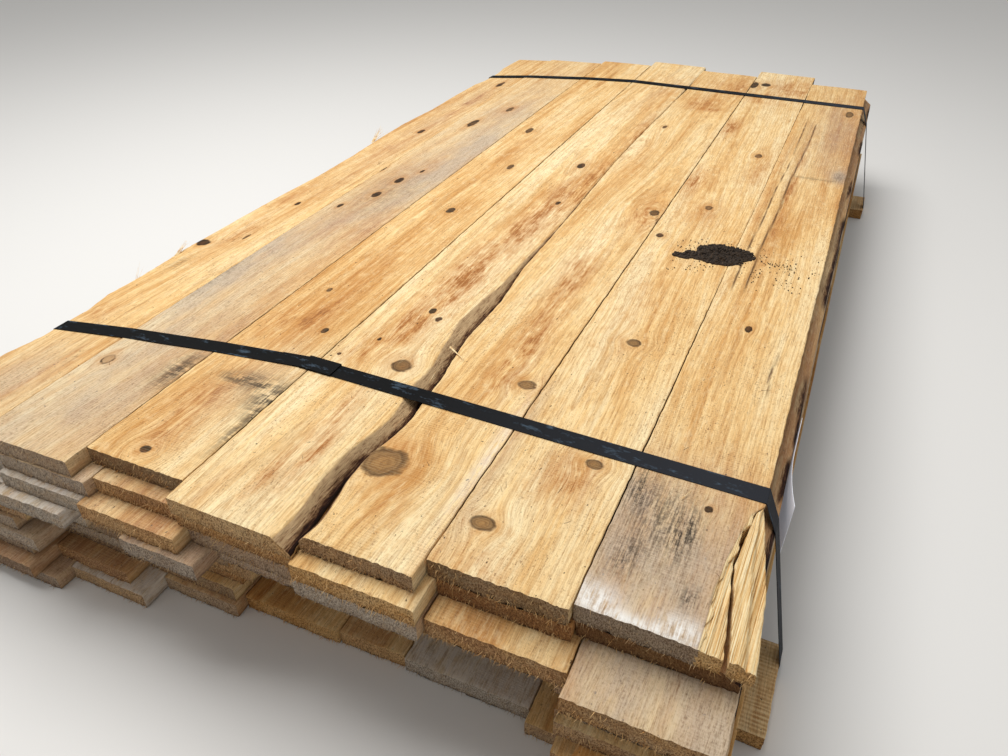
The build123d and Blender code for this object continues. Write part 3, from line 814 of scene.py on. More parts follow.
# The top boards, from left to right. Places are in millimetres: knots are
# (across, along, half width, half length, darkness, above 1 for a bare ring, below 0 where
# only the grain bends) and stains of each kind are
# (across, along, half width, half length, strength).
topBoards = [
    {"tone": 0.42, "sawMarks": 0.4, "endTone": 0.5, "endGrey": 0.5, "lower": 0.7 * mm,
     "leftBulge": [(-1000, 8), (-800, 10), (-690, 10), (-620, 8), (-510, 14), (-450, 13),
                   (-370, 13), (-243, 10), (-132, 4), (7, 6), (126, 13), (234, 16), (300, 13),
                   (376, 8), (520, 11), (700, 8), (800, 9), (1000, 7)],
     "knots": [(-540, -480, 12, 12, 0.95), (-486, -276, 5, 8, 0.8), (-478, -436, 3, 12, 0.5),
               (-477, 199, 7, 14, 0.8), (-473, 645, 8, 24, 0.8)],
     "stains": {
         "redStain": [(-500, -430, 26, 120, 0.6), (-474, 430, 18, 190, 1.0),
                      (-490, 60, 30, 120, 0.7), (-515, -734, 24, 26, 0.9),
                      (-520, -250, 20, 60, 0.7)],
         "greyStain": [(-480, -930, 70, 130, 0.6), (-480, 300, 60, 500, 0.35)],
         "darkStain": [(-520, -560, 10, 30, 0.5)]}},
    {"tone": 0.36, "sawMarks": 0.5, "endTone": 0.6, "endGrey": 0.45,
     "knots": [(-388, -830, 9, 11, 2), (-358, -190, 8, 14, 0.9), (-354, -108, 8, 15, 0.9),
               (-395, -261, 5, 9, 0.9), (-425, -60, 6, 14, 0.9), (-335, -47, 4, 9, 0.9),
               (-381, 288, 9, 26, 0.7), (-342, 422, 7, 18, 0.5)],
     "stains": {
         "redStain": [(-278, -331, 30, 80, 0.85), (-343, -351, 20, 60, 0.75),
                      (-330, -20, 26, 60, 0.8), (-342, 422, 30, 60, 0.8)],
         "darkStain": [(-276, -813, 18, 44, 1.0), (-430, -580, 20, 56, 1.0),
                       (-345, -170, 60, 110, 0.3)],
         "greyStain": [(-350, -900, 120, 300, 0.75), (-410, -540, 40, 150, 0.9),
                       (-290, 60, 38, 330, 0.7), (-350, 300, 100, 600, 0.55),
                       (-360, -300, 90, 300, 0.4)]}},
    {"tone": 0.38, "sawMarks": 0.7, "endTone": 0.85, "endGrey": 0.1,
     "knots": [(-192, -954, 7, 6, 0.95), (-192, -954, 12, 11, -1), (-215, -552, 4, 6, 0.4),
               (-151, -655, 5, 7, 0.85), (-182, -208, 7, 12, 0.85), (-171, 42, 6, 14, 0.6),
               (-227, 278, 7, 18, 0.6)],
     "stains": {
         "darkStain": [(-160, -797, 40, 17, 1.0), (-124, -822, 22, 30, 1.0),
                       (-118, -880, 8, 50, 0.8), (-200, -800, 20, 10, 0.5)],
         "redStain": [(-200, -840, 34, 80, 0.8), (-221, -661, 30, 60, 0.9),
                      (-179, -628, 22, 70, 0.8), (-190, -480, 30, 110, 0.6),
                      (-200, 150, 40, 200, 0.4), (-190, -930, 30, 40, 0.5)],
         "greyStain": [(-150, -790, 50, 90, 0.4)]}},
    {"tone": 0.2, "sawMarks": 0.5, "endTone": 0.2, "endGrey": 0.1, "ragged": 0.4,
     "seam": ("Right", seamOut),
     "wane": [("Right", [(-1010, 24, 17), (-880, 19, 18), (-760, 25, 18), (-620, 27, 17),
                         (-500, 23, 14), (-400, 17, 10), (-300, 9, 6), (-200, 5, 4),
                         (0, 4, 3), (950, 3, 2)])],
     "knots": [(-5, -685, 14, 13, 0.3), (-16, -561, 5, 7, 0.9), (-35, -544, 5, 8, 0.7),
               (-67, -642, 3, 4, 0.9), (-98, -696, 3, 4, 0.9), (-35, 108, 8, 15, 0.85),
               (-10, -96, 5, 8, 0.7)],
     "stains": {
         "redStain": [(-72, -668, 20, 60, 0.8), (-47, -589, 22, 80, 0.9), (-33, -490, 22, 90, 0.9),
                      (-52, -436, 24, 160, 0.8), (-24, -189, 34, 260, 0.9), (16, 38, 24, 240, 0.8),
                      (-20, 674, 60, 200, 0.5), (-6, -888, 10, 60, 0.9), (-34, -921, 10, 50, 0.8),
                      (-24, -815, 14, 60, 0.8), (-75, -979, 14, 60, 0.5), (20, 385, 16, 90, 0.9)]}},
    {"tone": 0.3, "sawMarks": 0.8, "endTone": 0.6, "endGrey": 0.15, "ragged": 1.6,
     "seam": ("Left", seamOut),
     "leftBulge": [(-700, 0), (-560, 2.2), (-300, 1.2), (100, 2.2), (400, 3.2), (900, 2)],
     "wane": [("Left", [(-1000, 7, 8), (-880, 5, 6), (-850, 2.5, 1), (-835, 1, 0),
                        (950, 1, 0)])],
     "knots": [(74, -858, 26, 24, 0.1), (165, -656, 12, 10, 0.2), (171, -63, 9, 12, 0.5),
               (165, -50, 24, 44, -1), (60, 430, 5, 12, 0.5), (30, 250, 20, 60, -1)],
     "cracks": [(1.6, [(205, -190), (190, -120), (176, -60)])],
     "stains": {
         "redStain": [(127, -649, 26, 70, 0.8), (132, -571, 22, 80, 0.8),
                      (124, -419, 26, 120, 0.9), (114, -310, 24, 80, 0.7), (160, -70, 36, 90, 0.9),
                      (98, 661, 50, 50, 1.0), (118, 611, 36, 16, 1.0), (80, -840, 40, 34, 0.6),
                      (111, -909, 26, 40, 0.6), (140, 850, 60, 120, 0.9), (60, 200, 30, 160, 0.4)],
         "whiteStain": [(180, -800, 8, 130, 0.42)]}},
    {"tone": 0.22, "sawMarks": 0.5, "endTone": 0.8, "endGrey": 0.05, "ragged": 1.7,
     "knots": [(218, -896, 13, 10, 0.1), (294, -762, 10, 8, 0.2), (263, -503, 11, 9, 0.2),
               (205, -151, 7, 9, 0.9), (258, 3, 8, 10, 0.3), (297, 323, 8, 12, 0.4),
               (193, 884, 10, 30, 0.8), (222, 898, 12, 16, 0.8)],
     "stains": {
         "redStain": [(230, -960, 50, 50, 0.5), (275, -800, 30, 50, 0.9), (204, 124, 34, 70, 1.0),
                      (240, -400, 40, 200, 0.4), (300, 880, 60, 120, 0.9),
                      (310, 250, 20, 120, 0.6), (204, 491, 24, 70, 1.0), (250, -20, 40, 60, 0.6),
                      (230, 760, 40, 60, 0.8)],
         "greyStain": [(195, -780, 10, 160, 0.5)]}},
    {"tone": 0.42, "sawMarks": 0.7, "endTone": 1.1, "endGrey": 0.5, "ragged": 1.5,
     "leftBulge": [(-1000, 0), (-400, 0.4), (-250, 1.3), (900, 1.3)],
     "swells": [(349, -300, 660, 12, 2.2), (370, -300, 640, 11, 2.8)],
     "cracks": [(1.1, [(358, -300), (356, -150), (361, 20), (359, 115), (367, 320), (364, 660)]),
                (1.6, [(378, -300), (375, -140), (381, 60), (379, 180), (386, 400), (388, 610)]),
                (1.3, [(452, -560), (449, -500), (452, -440)])],
     "knots": [(428, -779, 4.5, 5, 0.75), (403, -399, 5, 9, 0.7), (455, 712, 9, 24, 0.3)],
     "tornRight": 2.0 * mm, "freshEdge": 6 * mm,
     "stains": {
         "greyStain": [(400, -860, 110, 120, 1.0), (345, -850, 26, 90, 0.9),
                       (440, 560, 60, 300, 0.5), (470, 268, 20, 36, 1.0),
                       (385, -955, 90, 60, 0.8)],
         "grime": [(385, -815, 34, 60, 0.8), (352, -776, 14, 30, 1.0), (416, -825, 12, 34, 1.0),
                   (436, -900, 10, 16, 0.9), (365, -880, 14, 26, 0.8)],
         "whiteStain": [(352, -936, 26, 17, 1.0), (392, -949, 40, 9, 0.9),
                        (438, -939, 24, 15, 1.0)],
         "darkStain": [(470, 268, 14, 26, 0.5), (420, 236, 60, 5, 0.5)],
         "redStain": [(386, 150, 10, 420, 1.0), (350, 100, 10, 420, 0.6),
                      (430, -740, 40, 40, 0.5)]}},
]

# Boards whose near ends show below the top layer, by layer from the floor and then from the
# left: tone of the face, its weathering, tone of the end and its weathering
shownBoards = {
    10: [(0.5, 0.6, 0.6, 0.6), (0.5, 0.7, 0.6, 0.7), (0.6, 0.3, 0.35, 0.15),
         (0.5, 0.0, 0.42, 0.05), (0.35, 0.0, 0.2, 0.0), (0.7, 0.1, 0.7, 0.05),
         (0.8, 0.35, 1.2, 0.05)],
    9: [(0.35, 1.0, 0.2, 1.0), (0.35, 1.0, 0.2, 0.95), (0.62, 0.3, 0.25, 0.15),
        (0.6, 0.2, 0.65, 0.4), (0.5, 0.6, 0.55, 0.8), (0.5, 0.1, 0.45, 0.1),
        (0.3, 0.9, 0.6, 0.05)],
    8: [(0.3, 1.0, 0.4, 1.0), (0.4, 1.0, 0.4, 0.9), (0.6, 0.5, 0.8, 0.3), (0.9, 0.8, 1.1, 0.7),
        (0.6, 0.4, 0.6, 0.55), (0.8, 0.2, 0.75, 0.2)],
    5: [(0.6, 0.7, 0.9, 0.6), (0.6, 0.7, 1.1, 0.3)],
    4: [(0.55, 0.85, 0.75, 0.75), (0.5, 0.9, 1.0, 0.5)],
    3: [(0.6, 0.6, 0.9, 0.5), (0.6, 0.5, 1.1, 0.2)],
    2: [(1.0, 0.5, 1.1, 0.3), (0.75, 0.3, 0.5, 0.15)],
    1: [(0.7, 0.7, 0.95, 0.6), (0.2, 0.95, 0.3, 0.35), (0.6, 0.4, 0.3, 0.5),
        (0.55, 0.0, 0.15, 0.0), (0.6, 0.2, 0.15, 0.15), (0.2, 1.0, 0.45, 0.9)],
}

# Layers from the floor whose outermost board keeps bark along its upper arris
edgeWanes = {3: "Left", 5: "Left", 6: "Right", 10: "Right"}
edgeWane = [(-1050, 17, 14), (1050, 15, 13)]

# Fineness of a built board: cell, first row, growth of the rows, widest row, rows on an end
topMesh = (2.3 * mm, 2.8 * mm, 1.009, 13 * mm, 6)
lowerMesh = (4.5 * mm, 3.0 * mm, 1.14, 100 * mm, 5)
blockMesh = (3.0 * mm, 3.0 * mm, 1.02, 5 * mm, 7)
splitMesh = (1.1 * mm, 4 * mm, 1.0, 5 * mm, 8)
freshLook = {"fresh": 0.95, "tone": 0.2, "ridges": 2.6 * mm, "endTone": 0.1}  # split wood
thinLook = {"lower": 1.2 * mm}
sprungLook = {"lower": 0.5 * mm, "facet": (0.5, 4 * mm)}
rippleSpacing = 5.6 * mm  # between the saw lines of the packing blocks
# The packing blocks get no painted seam shade
blockLook = {"tone": 0.42, "greyStain": 0.25, "sawMarks": 3.0, "endTone": 0.35, "ragged": 0.7,
             "seamDirt": 0.0}


# Looks of a board below the top layer: drawn at random unless its near end shows
def lowerLook(rng, layer, place, count):
    weathered = rng.random() < 0.25
    look = {
        "tone": rng.uniform(0.3, 0.7), "greyStain": 0.8 if weathered else rng.uniform(0, 0.2),
        "endTone": rng.uniform(0.3, 0.85), "endGrey": 0.8 if weathered else rng.uniform(0, 0.3),
        "sawMarks": rng.uniform(0.2, 0.6), "ragged": 1.3,
    }
    shown = shownBoards.get(layer, [])
    if place <= len(shown):
        look.update(zip(("tone", "greyStain", "endTone", "endGrey"), shown[place - 1]))
        look["whiteStain"] = 0.55 if look["greyStain"] > 0.92 else 0.0  # bleached by the sun
    side = edgeWanes.get(layer)
    if (side == "Left" and place == 1) or (side == "Right" and place == count):
        look["wane"] = [(side, edgeWane)]
        look["barkPatches"] = 55
    return look


# The split near end of the last top board: where the weathered face breaks off, where the
# crack opens and where the sprung strip ends, as (along from the crack's tip, across from it)
splitLines = {
    "breakLine": [(-1.0, -16), (-0.62, -16), (-0.42, -13), (-0.28, -9), (0.0, 0)],
    "crackLeft": [(-1.0, 4), (-0.68, -3), (-0.42, -9), (-0.34, -10)],
    "crackRight": [(-1.0, 9.5), (-0.68, 1), (-0.42, -7), (0.0, 0)],
}
splitForm = {
    "nearZone": 60 * mm,  # the near end's corners lie in it and the crack's beyond it
    "sliverWidth": 4.5 * mm,
    "rootGap": 1.5 * mm,  # between the strip's root and the board
    "bulge": (6 * mm, 0.45),  # how far in the strip's outer line runs, and at which share
}


# Main board, sliver and sprung strip of the split board, from the CAD corners of its split
def splitBoard(corners):
    board = readBoard(corners)
    form, nearY = splitForm, board["nearLeft"][1]
    isNear = corners[:, 1] < nearY + form["nearZone"]
    group = corners[isNear & (corners[:, 2] > corners[:, 2].max() - mm)]
    outer = group[np.argmax(group[:, 0])]
    inside = corners[~isNear & (corners[:, 1] < 0)]
    tip, root = inside[np.argmin(inside[:, 0])], inside[np.argmax(inside[:, 0])]
    span = tip[1] - nearY
    lines = {name: [(tip[0] + a * mm, tip[1] + t * span) for t, a in line]
             for name, line in splitLines.items()}
    bend = tuple(root[:2])
    main = partBoard(board, [(board["nearLeft"][0], nearY), tuple(board["farLeft"][:2])],
                     lines["breakLine"] + [bend, tuple(board["farRight"][:2])])
    sliver = partBoard(board, [(x - form["sliverWidth"], y) for x, y in lines["breakLine"][:4]],
                       lines["crackLeft"][:3] + [lines["breakLine"][3]])
    inwards, place = form["bulge"]
    bulge = (outer[0] - inwards, nearY + place * span)
    strip = partBoard(board, lines["crackRight"] + [(root[0] - form["rootGap"], root[1])],
                      [(outer[0], nearY), bulge, bend])
    return main, sliver, strip


# A top board, the last one with its split end, as one or more built pieces
def topPieces(corners, seed, look, isLast):
    if not isLast:
        return [buildBoard(moveEdge(readBoard(corners), look), seed, topMesh, look)]
    main, sliver, strip = splitBoard(corners)
    return [buildBoard(main, seed, topMesh, look),
            buildBoard(sliver, seed + 1, splitMesh, dict(freshLook, **thinLook)),
            buildBoard(strip, seed + 2, splitMesh, dict(freshLook, **sprungLook))]


# All boards and both packing blocks. Gives back what was built, for the fibres on its ends.
def makeBoards():
    materials = [sawnCedar(cedarLook), sawnEnd(cedarLook)]
    layers = sorted(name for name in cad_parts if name.startswith("board_layer_"))
    total = 0
    ends = []
    for layer, name in enumerate(layers, 1):
        solids = solidsOf(name)
        pieces = []
        for place, corners in enumerate(solids, 1):
            seed = 20 * layer + place
            if layer < len(layers):
                look = lowerLook(np.random.default_rng(seed), layer, place, len(solids))
                pieces.append(buildBoard(readBoard(corners), seed, lowerMesh, look))
                continue
            built = topPieces(corners, seed, topBoards[place - 1], place == len(solids))
            total += finishBoards(boardObject(f"topBoard{place}", built, materials), name)
            ends += built
        if pieces:
            total += finishBoards(boardObject(f"boards{layer:02d}", pieces, materials), name)
            ends += pieces
    materials[0] = sawnCedar(dict(cedarLook, sawSpacing=rippleSpacing), "rippleSawnSoftwood")
    for seed, name in ((7, "front_block"), (8, "rear_block")):
        block = buildBoard(readBoard(solidsOf(name)[0]), seed, blockMesh, blockLook)
        piece = boardObject(name.split("_")[0] + "Block", [block], materials)
        total += finishBoards(piece, name)
    print("boards made,", total, "triangles")
    return ends


# Gives back its triangles.
def finishBoards(piece, node):
    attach(piece, "root")
    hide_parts(node)
    return sum(len(p.vertices) - 2 for p in piece.data.polygons)


# A modifier tree that scatters small closed pieces over a surface, then only they are kept
def scatterTree(name, density, seed, shape, size, lean, material, attributeName=None):
    tree = bpy.data.node_groups.new(name, "GeometryNodeTree")
    tree.interface.new_socket("Geometry", in_out="INPUT", socket_type="NodeSocketGeometry")
    for label, value in (("Density", density), ("Smallest", size[0]), ("Largest", size[1])):
        socket = tree.interface.new_socket(label, in_out="INPUT", socket_type="NodeSocketFloat")
        socket.default_value = value
    tree.interface.new_socket("Geometry", in_out="OUTPUT", socket_type="NodeSocketGeometry")
    add = partial(put, tree)
    given = add("NodeGroupInput")
    amount = given["Density"]
    if attributeName:
        extent = add("GeometryNodeInputNamedAttribute", {"Name": attributeName})["Attribute"]
        amount = add("times", amount, extent)
    spots = add("GeometryNodeDistributePointsOnFaces",
                {"Mesh": given["Geometry"], "Density": amount, "Seed": seed})
    low, high = lean
    stray = add("FunctionNodeRandomValue", {"Min": low, "Max": high, "Seed": seed + 1},
                data_type="FLOAT_VECTOR")["Value"]
    toward = add("ShaderNodeVectorMath", {0: spots["Normal"], 1: stray})[0]
    turned = add("FunctionNodeAlignRotationToVector", {"Vector": toward}, axis="Z")
    length = add("FunctionNodeRandomValue", {"Min": given["Smallest"], "Max": given["Largest"],
                                             "Seed": seed + 2}, data_type="FLOAT")
    if shape == "hair":
        form = add("GeometryNodeMeshCone", {"Vertices": 3, "Radius Top": 0.0,
                                            "Radius Bottom": 0.075, "Depth": 1.0})
    else:
        form = add("GeometryNodeMeshIcoSphere", {"Radius": 0.5, "Subdivisions": 1})
    onPoints = add("GeometryNodeInstanceOnPoints", {"Points": spots["Points"], "Instance": form[0],
                                                    "Rotation": turned[0], "Scale": length[1]})
    real = add("GeometryNodeRealizeInstances", {"Geometry": onPoints[0]})
    dressed = add("GeometryNodeSetMaterial", {"Geometry": real[0], "Material": material})
    add("NodeGroupOutput", {"Geometry": dressed[0]})
    return tree


# Makes the scattered pieces on a carrying mesh with these values at its points, and keeps
# them as a plain object
def scatter(name, points, polygons, tree, **values):
    faces = [tuple(int(i) for i in polygon) for polygon in polygons]
    piece = meshObject(name, [tuple(p) for p in points], faces)
    for key, numbers in values.items():
        layer = piece.data.attributes.new(key, "FLOAT", "POINT")
        layer.data.foreach_set("value", np.asarray(numbers, np.float32))
    modifier = piece.modifiers.new("scatter", "NODES")
    modifier.node_group = tree
    graph = bpy.context.evaluated_depsgraph_get()
    made = bpy.data.meshes.new_from_object(piece.evaluated_get(graph), depsgraph=graph)
    piece.modifiers.clear()
    piece.data = made
    made.name = name
    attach(piece, "root")
    print(name, len(made.polygons), "faces")
    return piece


fibreLook = {
    "endHairs": 90000,  # for each square metre of torn end
    "hairLength": (1.6 * mm, 7.5 * mm),
    "colours": ("#e8c38a", "#b5803f"),
}


# Torn fibres that stand off the near ends and hang from their lower arrises
def endFibres(ends, look):
    material = looseFibre("tornCedarFibre", *look["colours"])
    blocks, start = [], 0
    for b in ends:
        caps = b["quads"][b["kinds"] == 1]
        near = caps[b["points"][caps].mean(axis=1)[:, 1] < 0]
        used, index = np.unique(near, return_inverse=True)
        points = b["points"][used]
        grey, dark = (b["values"][key][used] for key in ("endGrey", "endTone"))
        low = share(1 - (points[:, 2] - points[:, 2].min()) / (6 * mm))
        amount = (0.15 + 1.5 * low) * (1 - 0.3 * grey) * np.clip(1.7 - dark, 0.3, 1)
        blocks.append((points, index.reshape(-1, 4) + start, amount, grey))
        start += len(points)
    points, faces, amounts, greys = (np.concatenate(parts) for parts in zip(*blocks))
    tree = scatterTree("endFibreTree", look["endHairs"], 11, "hair", look["hairLength"],
                       ((-1.0, -0.6, -1.6), (1.0, 0.4, 0.3)), material, "amount")
    fibres = scatter("endFibres", points, faces, tree, amount=amounts, endGrey=greys)
    places = np.empty(len(fibres.data.vertices) * 3)
    fibres.data.vertices.foreach_get("co", places)
    places[2::3] = np.maximum(places[2::3], 0.3 * mm)  # the lowest ones bend on the floor
    fibres.data.vertices.foreach_set("co", places)


# Splinters and shreds: each set starts at (across, along, height above the board's top) and
# its pieces leave it at about one heading, in degrees from across, and rise by some degrees
sliverLook = {
    "tufts": [  # start, pieces, length, thickness, heading, spread of headings, rise
        ((-547, -540, -0.5), 8, 46, 1.3, 98, 16, 22), ((-549, 96, -0.5), 10, 74, 1.6, 98, 14, 14),
        ((-452, -36, 0), 9, 30, 0.6, 100, 70, 34), ((-545, -630, -0.5), 3, 32, 0.6, 110, 30, 45),
        ((34, -619, 1.0), 1, 50, 3.4, -37, 2, 3), ((398, -777, 2.4), 1, 30, 1.6, 64, 2, 4),
        ((46, -700, 0), 3, 22, 0.8, 95, 16, 8), ((326, 590, 1), 2, 36, 1.3, 100, 40, 10),
        ((443, -130, 0), 6, 20, 0.7, 80, 150, 12), ((-230, -190, 0), 4, 26, 0.7, 96, 40, 10),
    ],
    "strewn": 150,  # thin shreds that lie on the top boards
    "strewnLength": (5, 17),
    "strewnThick": 0.55,
    "strewnBark": 0.45,  # share of them that are bark
    "woodColours": ("#f2dcae", "#c99a5c"),
    "barkColours": ("#7a5330", "#3d2616"),
}


# A thin curved tapering piece with three sides, closed, as points and faces in millimetres
def sliver(start, length, thickness, heading, rise, curl):
    steps = np.linspace(0, 1, 6)
    rises = np.radians(rise + curl * steps)
    turns = np.radians(heading + 0.6 * curl * steps)
    step = length / (len(steps) - 1)
    moves = np.stack([np.cos(rises) * np.cos(turns), np.cos(rises) * np.sin(turns),
                      np.sin(rises)], -1) * step
    centres = np.array(start) + np.concatenate([[(0, 0, 0)], np.cumsum(moves[:-1], axis=0)])
    side = np.array([-math.sin(turns[0]), math.cos(turns[0]), 0])
    points = []
    for centre, t in zip(centres, steps):
        r = thickness * (1 - 0.85 * t) / 2
        points += [centre + side * r, centre - side * r, centre + np.array([0, 0, r * 0.9])]
    faces = [(0, 1, 2), tuple(len(points) - i for i in (1, 2, 3))]
    for k in range(len(steps) - 1):
        for i in range(3):
            a, b = 3 * k + i, 3 * k + (i + 1) % 3
            faces.append((b, a, a + 3, b + 3))
    return points, faces


# Tufts at their own places and thin shreds strewn over the top boards, as two pieces
def makeSlivers(look):
    rng = np.random.default_rng(77)
    boards = [moveEdge(readBoard(corners), board)
              for corners, board in zip(solidsOf("board_layer_11"), topBoards)]
    pale, dark = [], []
    for start, count, length, thickness, heading, fan, rise in look["tufts"]:
        board = min(boards, key=lambda b: abs((b["nearLeft"][0] + b["nearRight"][0]) / 2
                                              - start[0] * mm))
        top = np.interp(start[0] * mm, board["xs"], board["under"]) + board["thick"]
        for _ in range(count):
            place = np.array(start) + (0, 0, top / mm - 0.6)  # rooted 0.6 mm in the wood
            if count > 1:
                place = place + rng.uniform(-1, 1, 3) * (2, 5, 0.4)
            pale.append((place, length * rng.uniform(0.6, 1.0), thickness,
                         heading + rng.uniform(-0.5, 0.5) * fan, rise * rng.uniform(0.6, 1.1),
                         rng.uniform(-12, 8)))
    for _ in range(look["strewn"]):
        board = boards[rng.integers(len(boards))]
        y = rng.uniform(board["nearLeft"][1] + 0.02, min(0.6, board["farLeft"][1] - 0.02))
        left, right = (np.interp(y, *board["edge" + side]) for side in ("Left", "Right"))
        x = left + (right - left) * rng.uniform(0.12, 0.8)
        z = np.interp(x, board["xs"], board["under"]) + board["thick"] - 0.2 * mm
        one = (np.array((x, y, z)) / mm, rng.uniform(*look["strewnLength"]), look["strewnThick"],
               rng.uniform(20, 160), rng.uniform(0, 3), rng.uniform(-9, 9))
        (dark if rng.random() < look["strewnBark"] else pale).append(one)
    for name, group, colours in (("paleSplinters", pale, look["woodColours"]),
                                 ("barkShreds", dark, look["barkColours"])):
        points, faces = [], []
        for one in group:
            p, f = sliver(*one)
            faces += [tuple(i + len(points) for i in face) for face in f]
            points += p
        piece = meshObject(name, [tuple(p * mm) for p in points], faces,
                           looseFibre(name + "Wood", *colours))
        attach(piece, "root")
        print(name, len(faces), "faces")


# A mound of damp soil left on the top boards, with crumbs strewn round it: mounds are
# (across, along, half width, half length, height) in mm
soilLook = {
    "mounds": [(322, -180, 46, 28, 14), (346, -176, 30, 21, 12), (290, -204, 34, 14, 9),
               (260, -214, 20, 9, 5), (318, -204, 40, 18, 10)],
    "colours": [(0.35, "#17110c"), (0.52, "#33271c"), (0.68, "#54422f")],
    "heapArea": (235, 375, -228, -148),  # from and to across, from and to along
    "cell": 1.6,
    "crumbs": (1.5 * mm, 6.0 * mm),
    "crumbCount": 60000,  # for each square metre of the heap
    "strewnArea": (240, 485, -285, -120),
    "strewnCell": 8,
    "strewn": (0.5 * mm, 2.6 * mm),
    "strewnCount": 90000,
    "middle": (330, -195),
    "strewnTo": (150, 70, 45),  # where the crumbs thin out, to the right, left and along
}


def dampSoil(look):
    material, add, shader = newMaterial("dampGardenSoil")
    place = add("ShaderNodeTexCoord")["Object"]
    grit = sized(add, place, (3, 3, 3), detail=4.0, roughness=0.7)
    bump = add("ShaderNodeBump", {"Height": grit, "Strength": 1.0, "Distance": 1.5 * mm})[0]
    fill(shader, {"Base Color": add("ramp", grit, look["colours"]), "Roughness": 0.95,
                  "Normal": bump})
    return material


# Height of the heaped soil over the boards at each place, in metres
def soilHeight(x, y, look):
    height = np.zeros_like(x)
    for cx, cy, rx, ry, rise in look["mounds"]:
        r = np.sqrt(((x - cx * mm) / (rx * mm)) ** 2 + ((y - cy * mm) / (ry * mm)) ** 2)
        height = np.maximum(height, rise * mm * share(1 - r) ** 0.5)
    lumps = 0.5 + 0.5 * softNoise(x / (6 * mm), y / (5 * mm), 41)
    grains = 0.5 + 0.5 * softNoise(x / (2.4 * mm), y / (2.4 * mm), 42)
    return height * (0.45 + 0.5 * lumps + 0.35 * grains) - 1.6 * mm * (1 - lumps)


# A flat grid of places over an area of the boards, and its quads
def soilGrid(area, cell):
    x0, x1, y0, y1 = area
    x, y = np.meshgrid(np.arange(x0, x1, cell) * mm, np.arange(y0, y1, cell) * mm)
    return x, y, gridQuads(np.arange(x.size).reshape(x.shape))


# The heap, the crumbs on it and the crumbs strewn round it
def makeSoil(look):
    material = dampSoil(look)
    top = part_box("board_layer_11")[1].z
    x, y, quads = soilGrid(look["heapArea"], look["cell"])
    height = soilHeight(x, y, look)
    quads = quads[(height.reshape(-1)[quads] > 0.2 * mm).all(axis=1)]
    used, quads = np.unique(quads, return_inverse=True)
    quads = quads.reshape(-1, 4)
    upper = np.stack([x, y, top + height], -1).reshape(-1, 3)[used]
    lower = upper.copy()
    lower[:, 2] = top - 0.3 * mm
    edges = np.concatenate([quads[:, [i, (i + 1) % 4]] for i in range(4)])
    keys = {tuple(edge) for edge in edges.tolist()}
    rims = [edge for edge in edges.tolist() if (edge[1], edge[0]) not in keys]
    n = len(used)
    faces = quads.tolist() + [[v + n for v in reversed(q)] for q in quads.tolist()]
    faces += [[j, i, i + n, j + n] for i, j in rims]
    heap = meshObject("soilHeap", np.concatenate([upper, lower]).tolist(), faces, material)
    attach(heap, "root")
    print("soil heap", len(faces), "faces")

    anyWay = ((-1, -1, -1), (1, 1, 1))
    tree = scatterTree("soilTree", look["crumbCount"], 21, "crumb", look["crumbs"], anyWay,
                       material)
    scatter("soilCrumbs", upper.tolist(), quads.tolist(), tree)

    x, y, quads = soilGrid(look["strewnArea"], look["strewnCell"])
    (cx, cy), (right, left, along) = look["middle"], look["strewnTo"]
    reach = np.where(x > cx * mm, right, left) * mm
    r = np.sqrt(((x - cx * mm) / reach) ** 2 + ((y - cy * mm) / (along * mm)) ** 2)
    amounts = np.exp(-(r ** 2)) * share(0.5 + softNoise(x / (25 * mm), y / (20 * mm), 43))
    ground = np.stack([x, y, np.full(x.shape, top + 0.3 * mm)], -1).reshape(-1, 3)
    tree = scatterTree("strewnSoilTree", look["strewnCount"], 22, "crumb", look["strewn"],
                       anyWay, material, "amount")
    scatter("strewnSoil", ground, quads, tree, amount=amounts.reshape(-1))
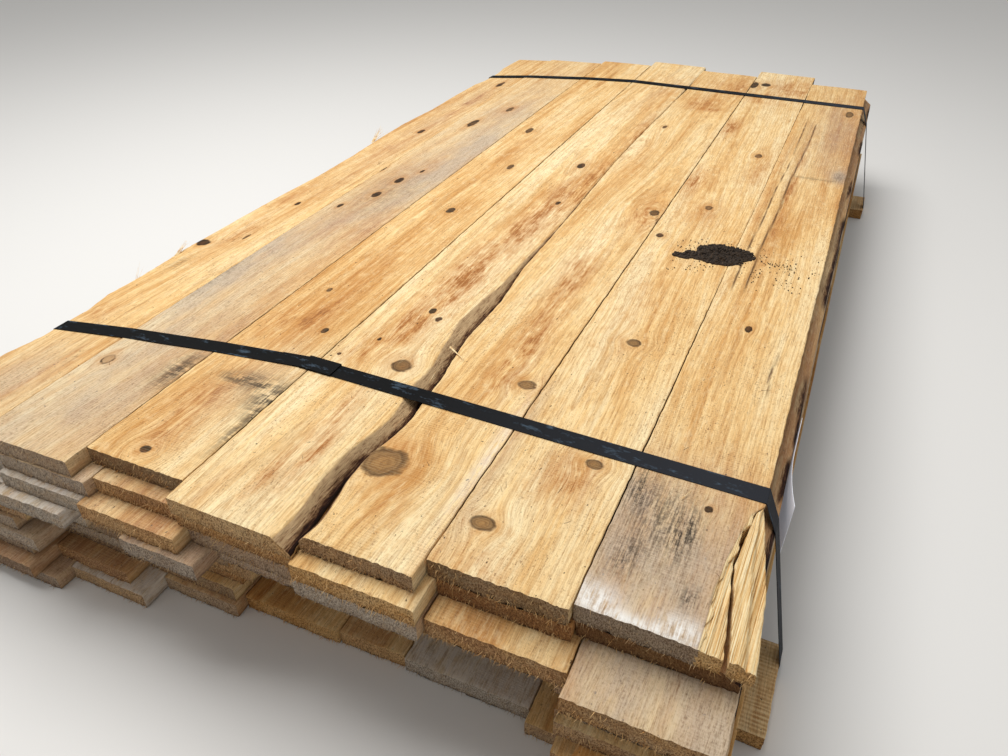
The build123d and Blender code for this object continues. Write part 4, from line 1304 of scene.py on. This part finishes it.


# Strapping: cold-rolled steel strip, painted blue-black, scuffed to bare bluish steel, with a sheen
# painted into its colour that greys it towards the right
strapLook = {
    "paint": "#060708",
    # painted sheen: the grey the black paint turns towards the right
    "paintedSheen": "#26282d",
    "bare": "#43525f",
    "rust": "#4c3226",
}


def strappingSteel(look):
    material, add, shader = newMaterial("paintedSteelStrapping")
    place = add("ShaderNodeTexCoord")["Object"]
    across = add("ShaderNodeSeparateXYZ", {"Vector": place})[0]
    scuffs = sized(add, place, (34, 12, 34), detail=5.0, roughness=0.68)
    fine = sized(add, place, (2.5, 1.2, 2.5), detail=3.0)
    # Painted sheen: the black paint greys towards the right across the bundle
    paint = add("mix", add("range", across, 0.05, 0.42), look["paint"], look["paintedSheen"])
    worn = add("range", add("plus", scuffs, add("times", fine, 0.15)), 0.635, 0.73)
    colour = add("mix", add("times", worn, 0.75), paint, look["bare"])
    colour = add("mix", add("range", fine, 0.62, 0.75, 0.0, 0.25), colour, look["rust"])
    bump = add("ShaderNodeBump", {"Height": scuffs, "Strength": 0.4, "Distance": 0.5 * mm})[0]
    fill(shader, {"Base Color": colour, "Roughness": add("range", scuffs, 0.3, 0.7, 0.6, 0.75),
                  "Specular IOR Level": 0.1, "Normal": bump})
    return material


# Plain weatherproof tag paper, with a faint painted glow that stands in for the daylight coming
# through it
tagLook = {
    "paper": [(0.3, "#eef0f8"), (0.7, "#fafbff")],
    "glow": "#e6eaf8",  # daylight that comes through it
    "glowStrength": 0.14,
}


def tagPaper(look):
    material, add, shader = newMaterial("plainTagPaper")
    place = add("ShaderNodeTexCoord")["Object"]
    fibres = sized(add, place, (3, 3, 3), detail=4.0)
    fill(shader, {"Base Color": add("ramp", fibres, look["paper"]), "Roughness": 0.6,
                  "Emission Color": look["glow"], "Emission Strength": look["glowStrength"]})
    return material


def dressSteel():
    steel = strappingSteel(strapLook)
    for name in ("front_strap", "rear_strap", "front_seal", "rear_seal"):
        setMaterial(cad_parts[name], steel)
    setMaterial(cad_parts["blank_tag"], tagPaper(tagLook))
    print("straps and tag dressed")


def setMaterial(piece, material):
    piece.data.materials.clear()
    piece.data.materials.append(material)


makeStage(viewSettings)
boardEnds = makeBoards()
endFibres(boardEnds, fibreLook)
makeSlivers(sliverLook)
makeSoil(soilLook)
dressSteel()
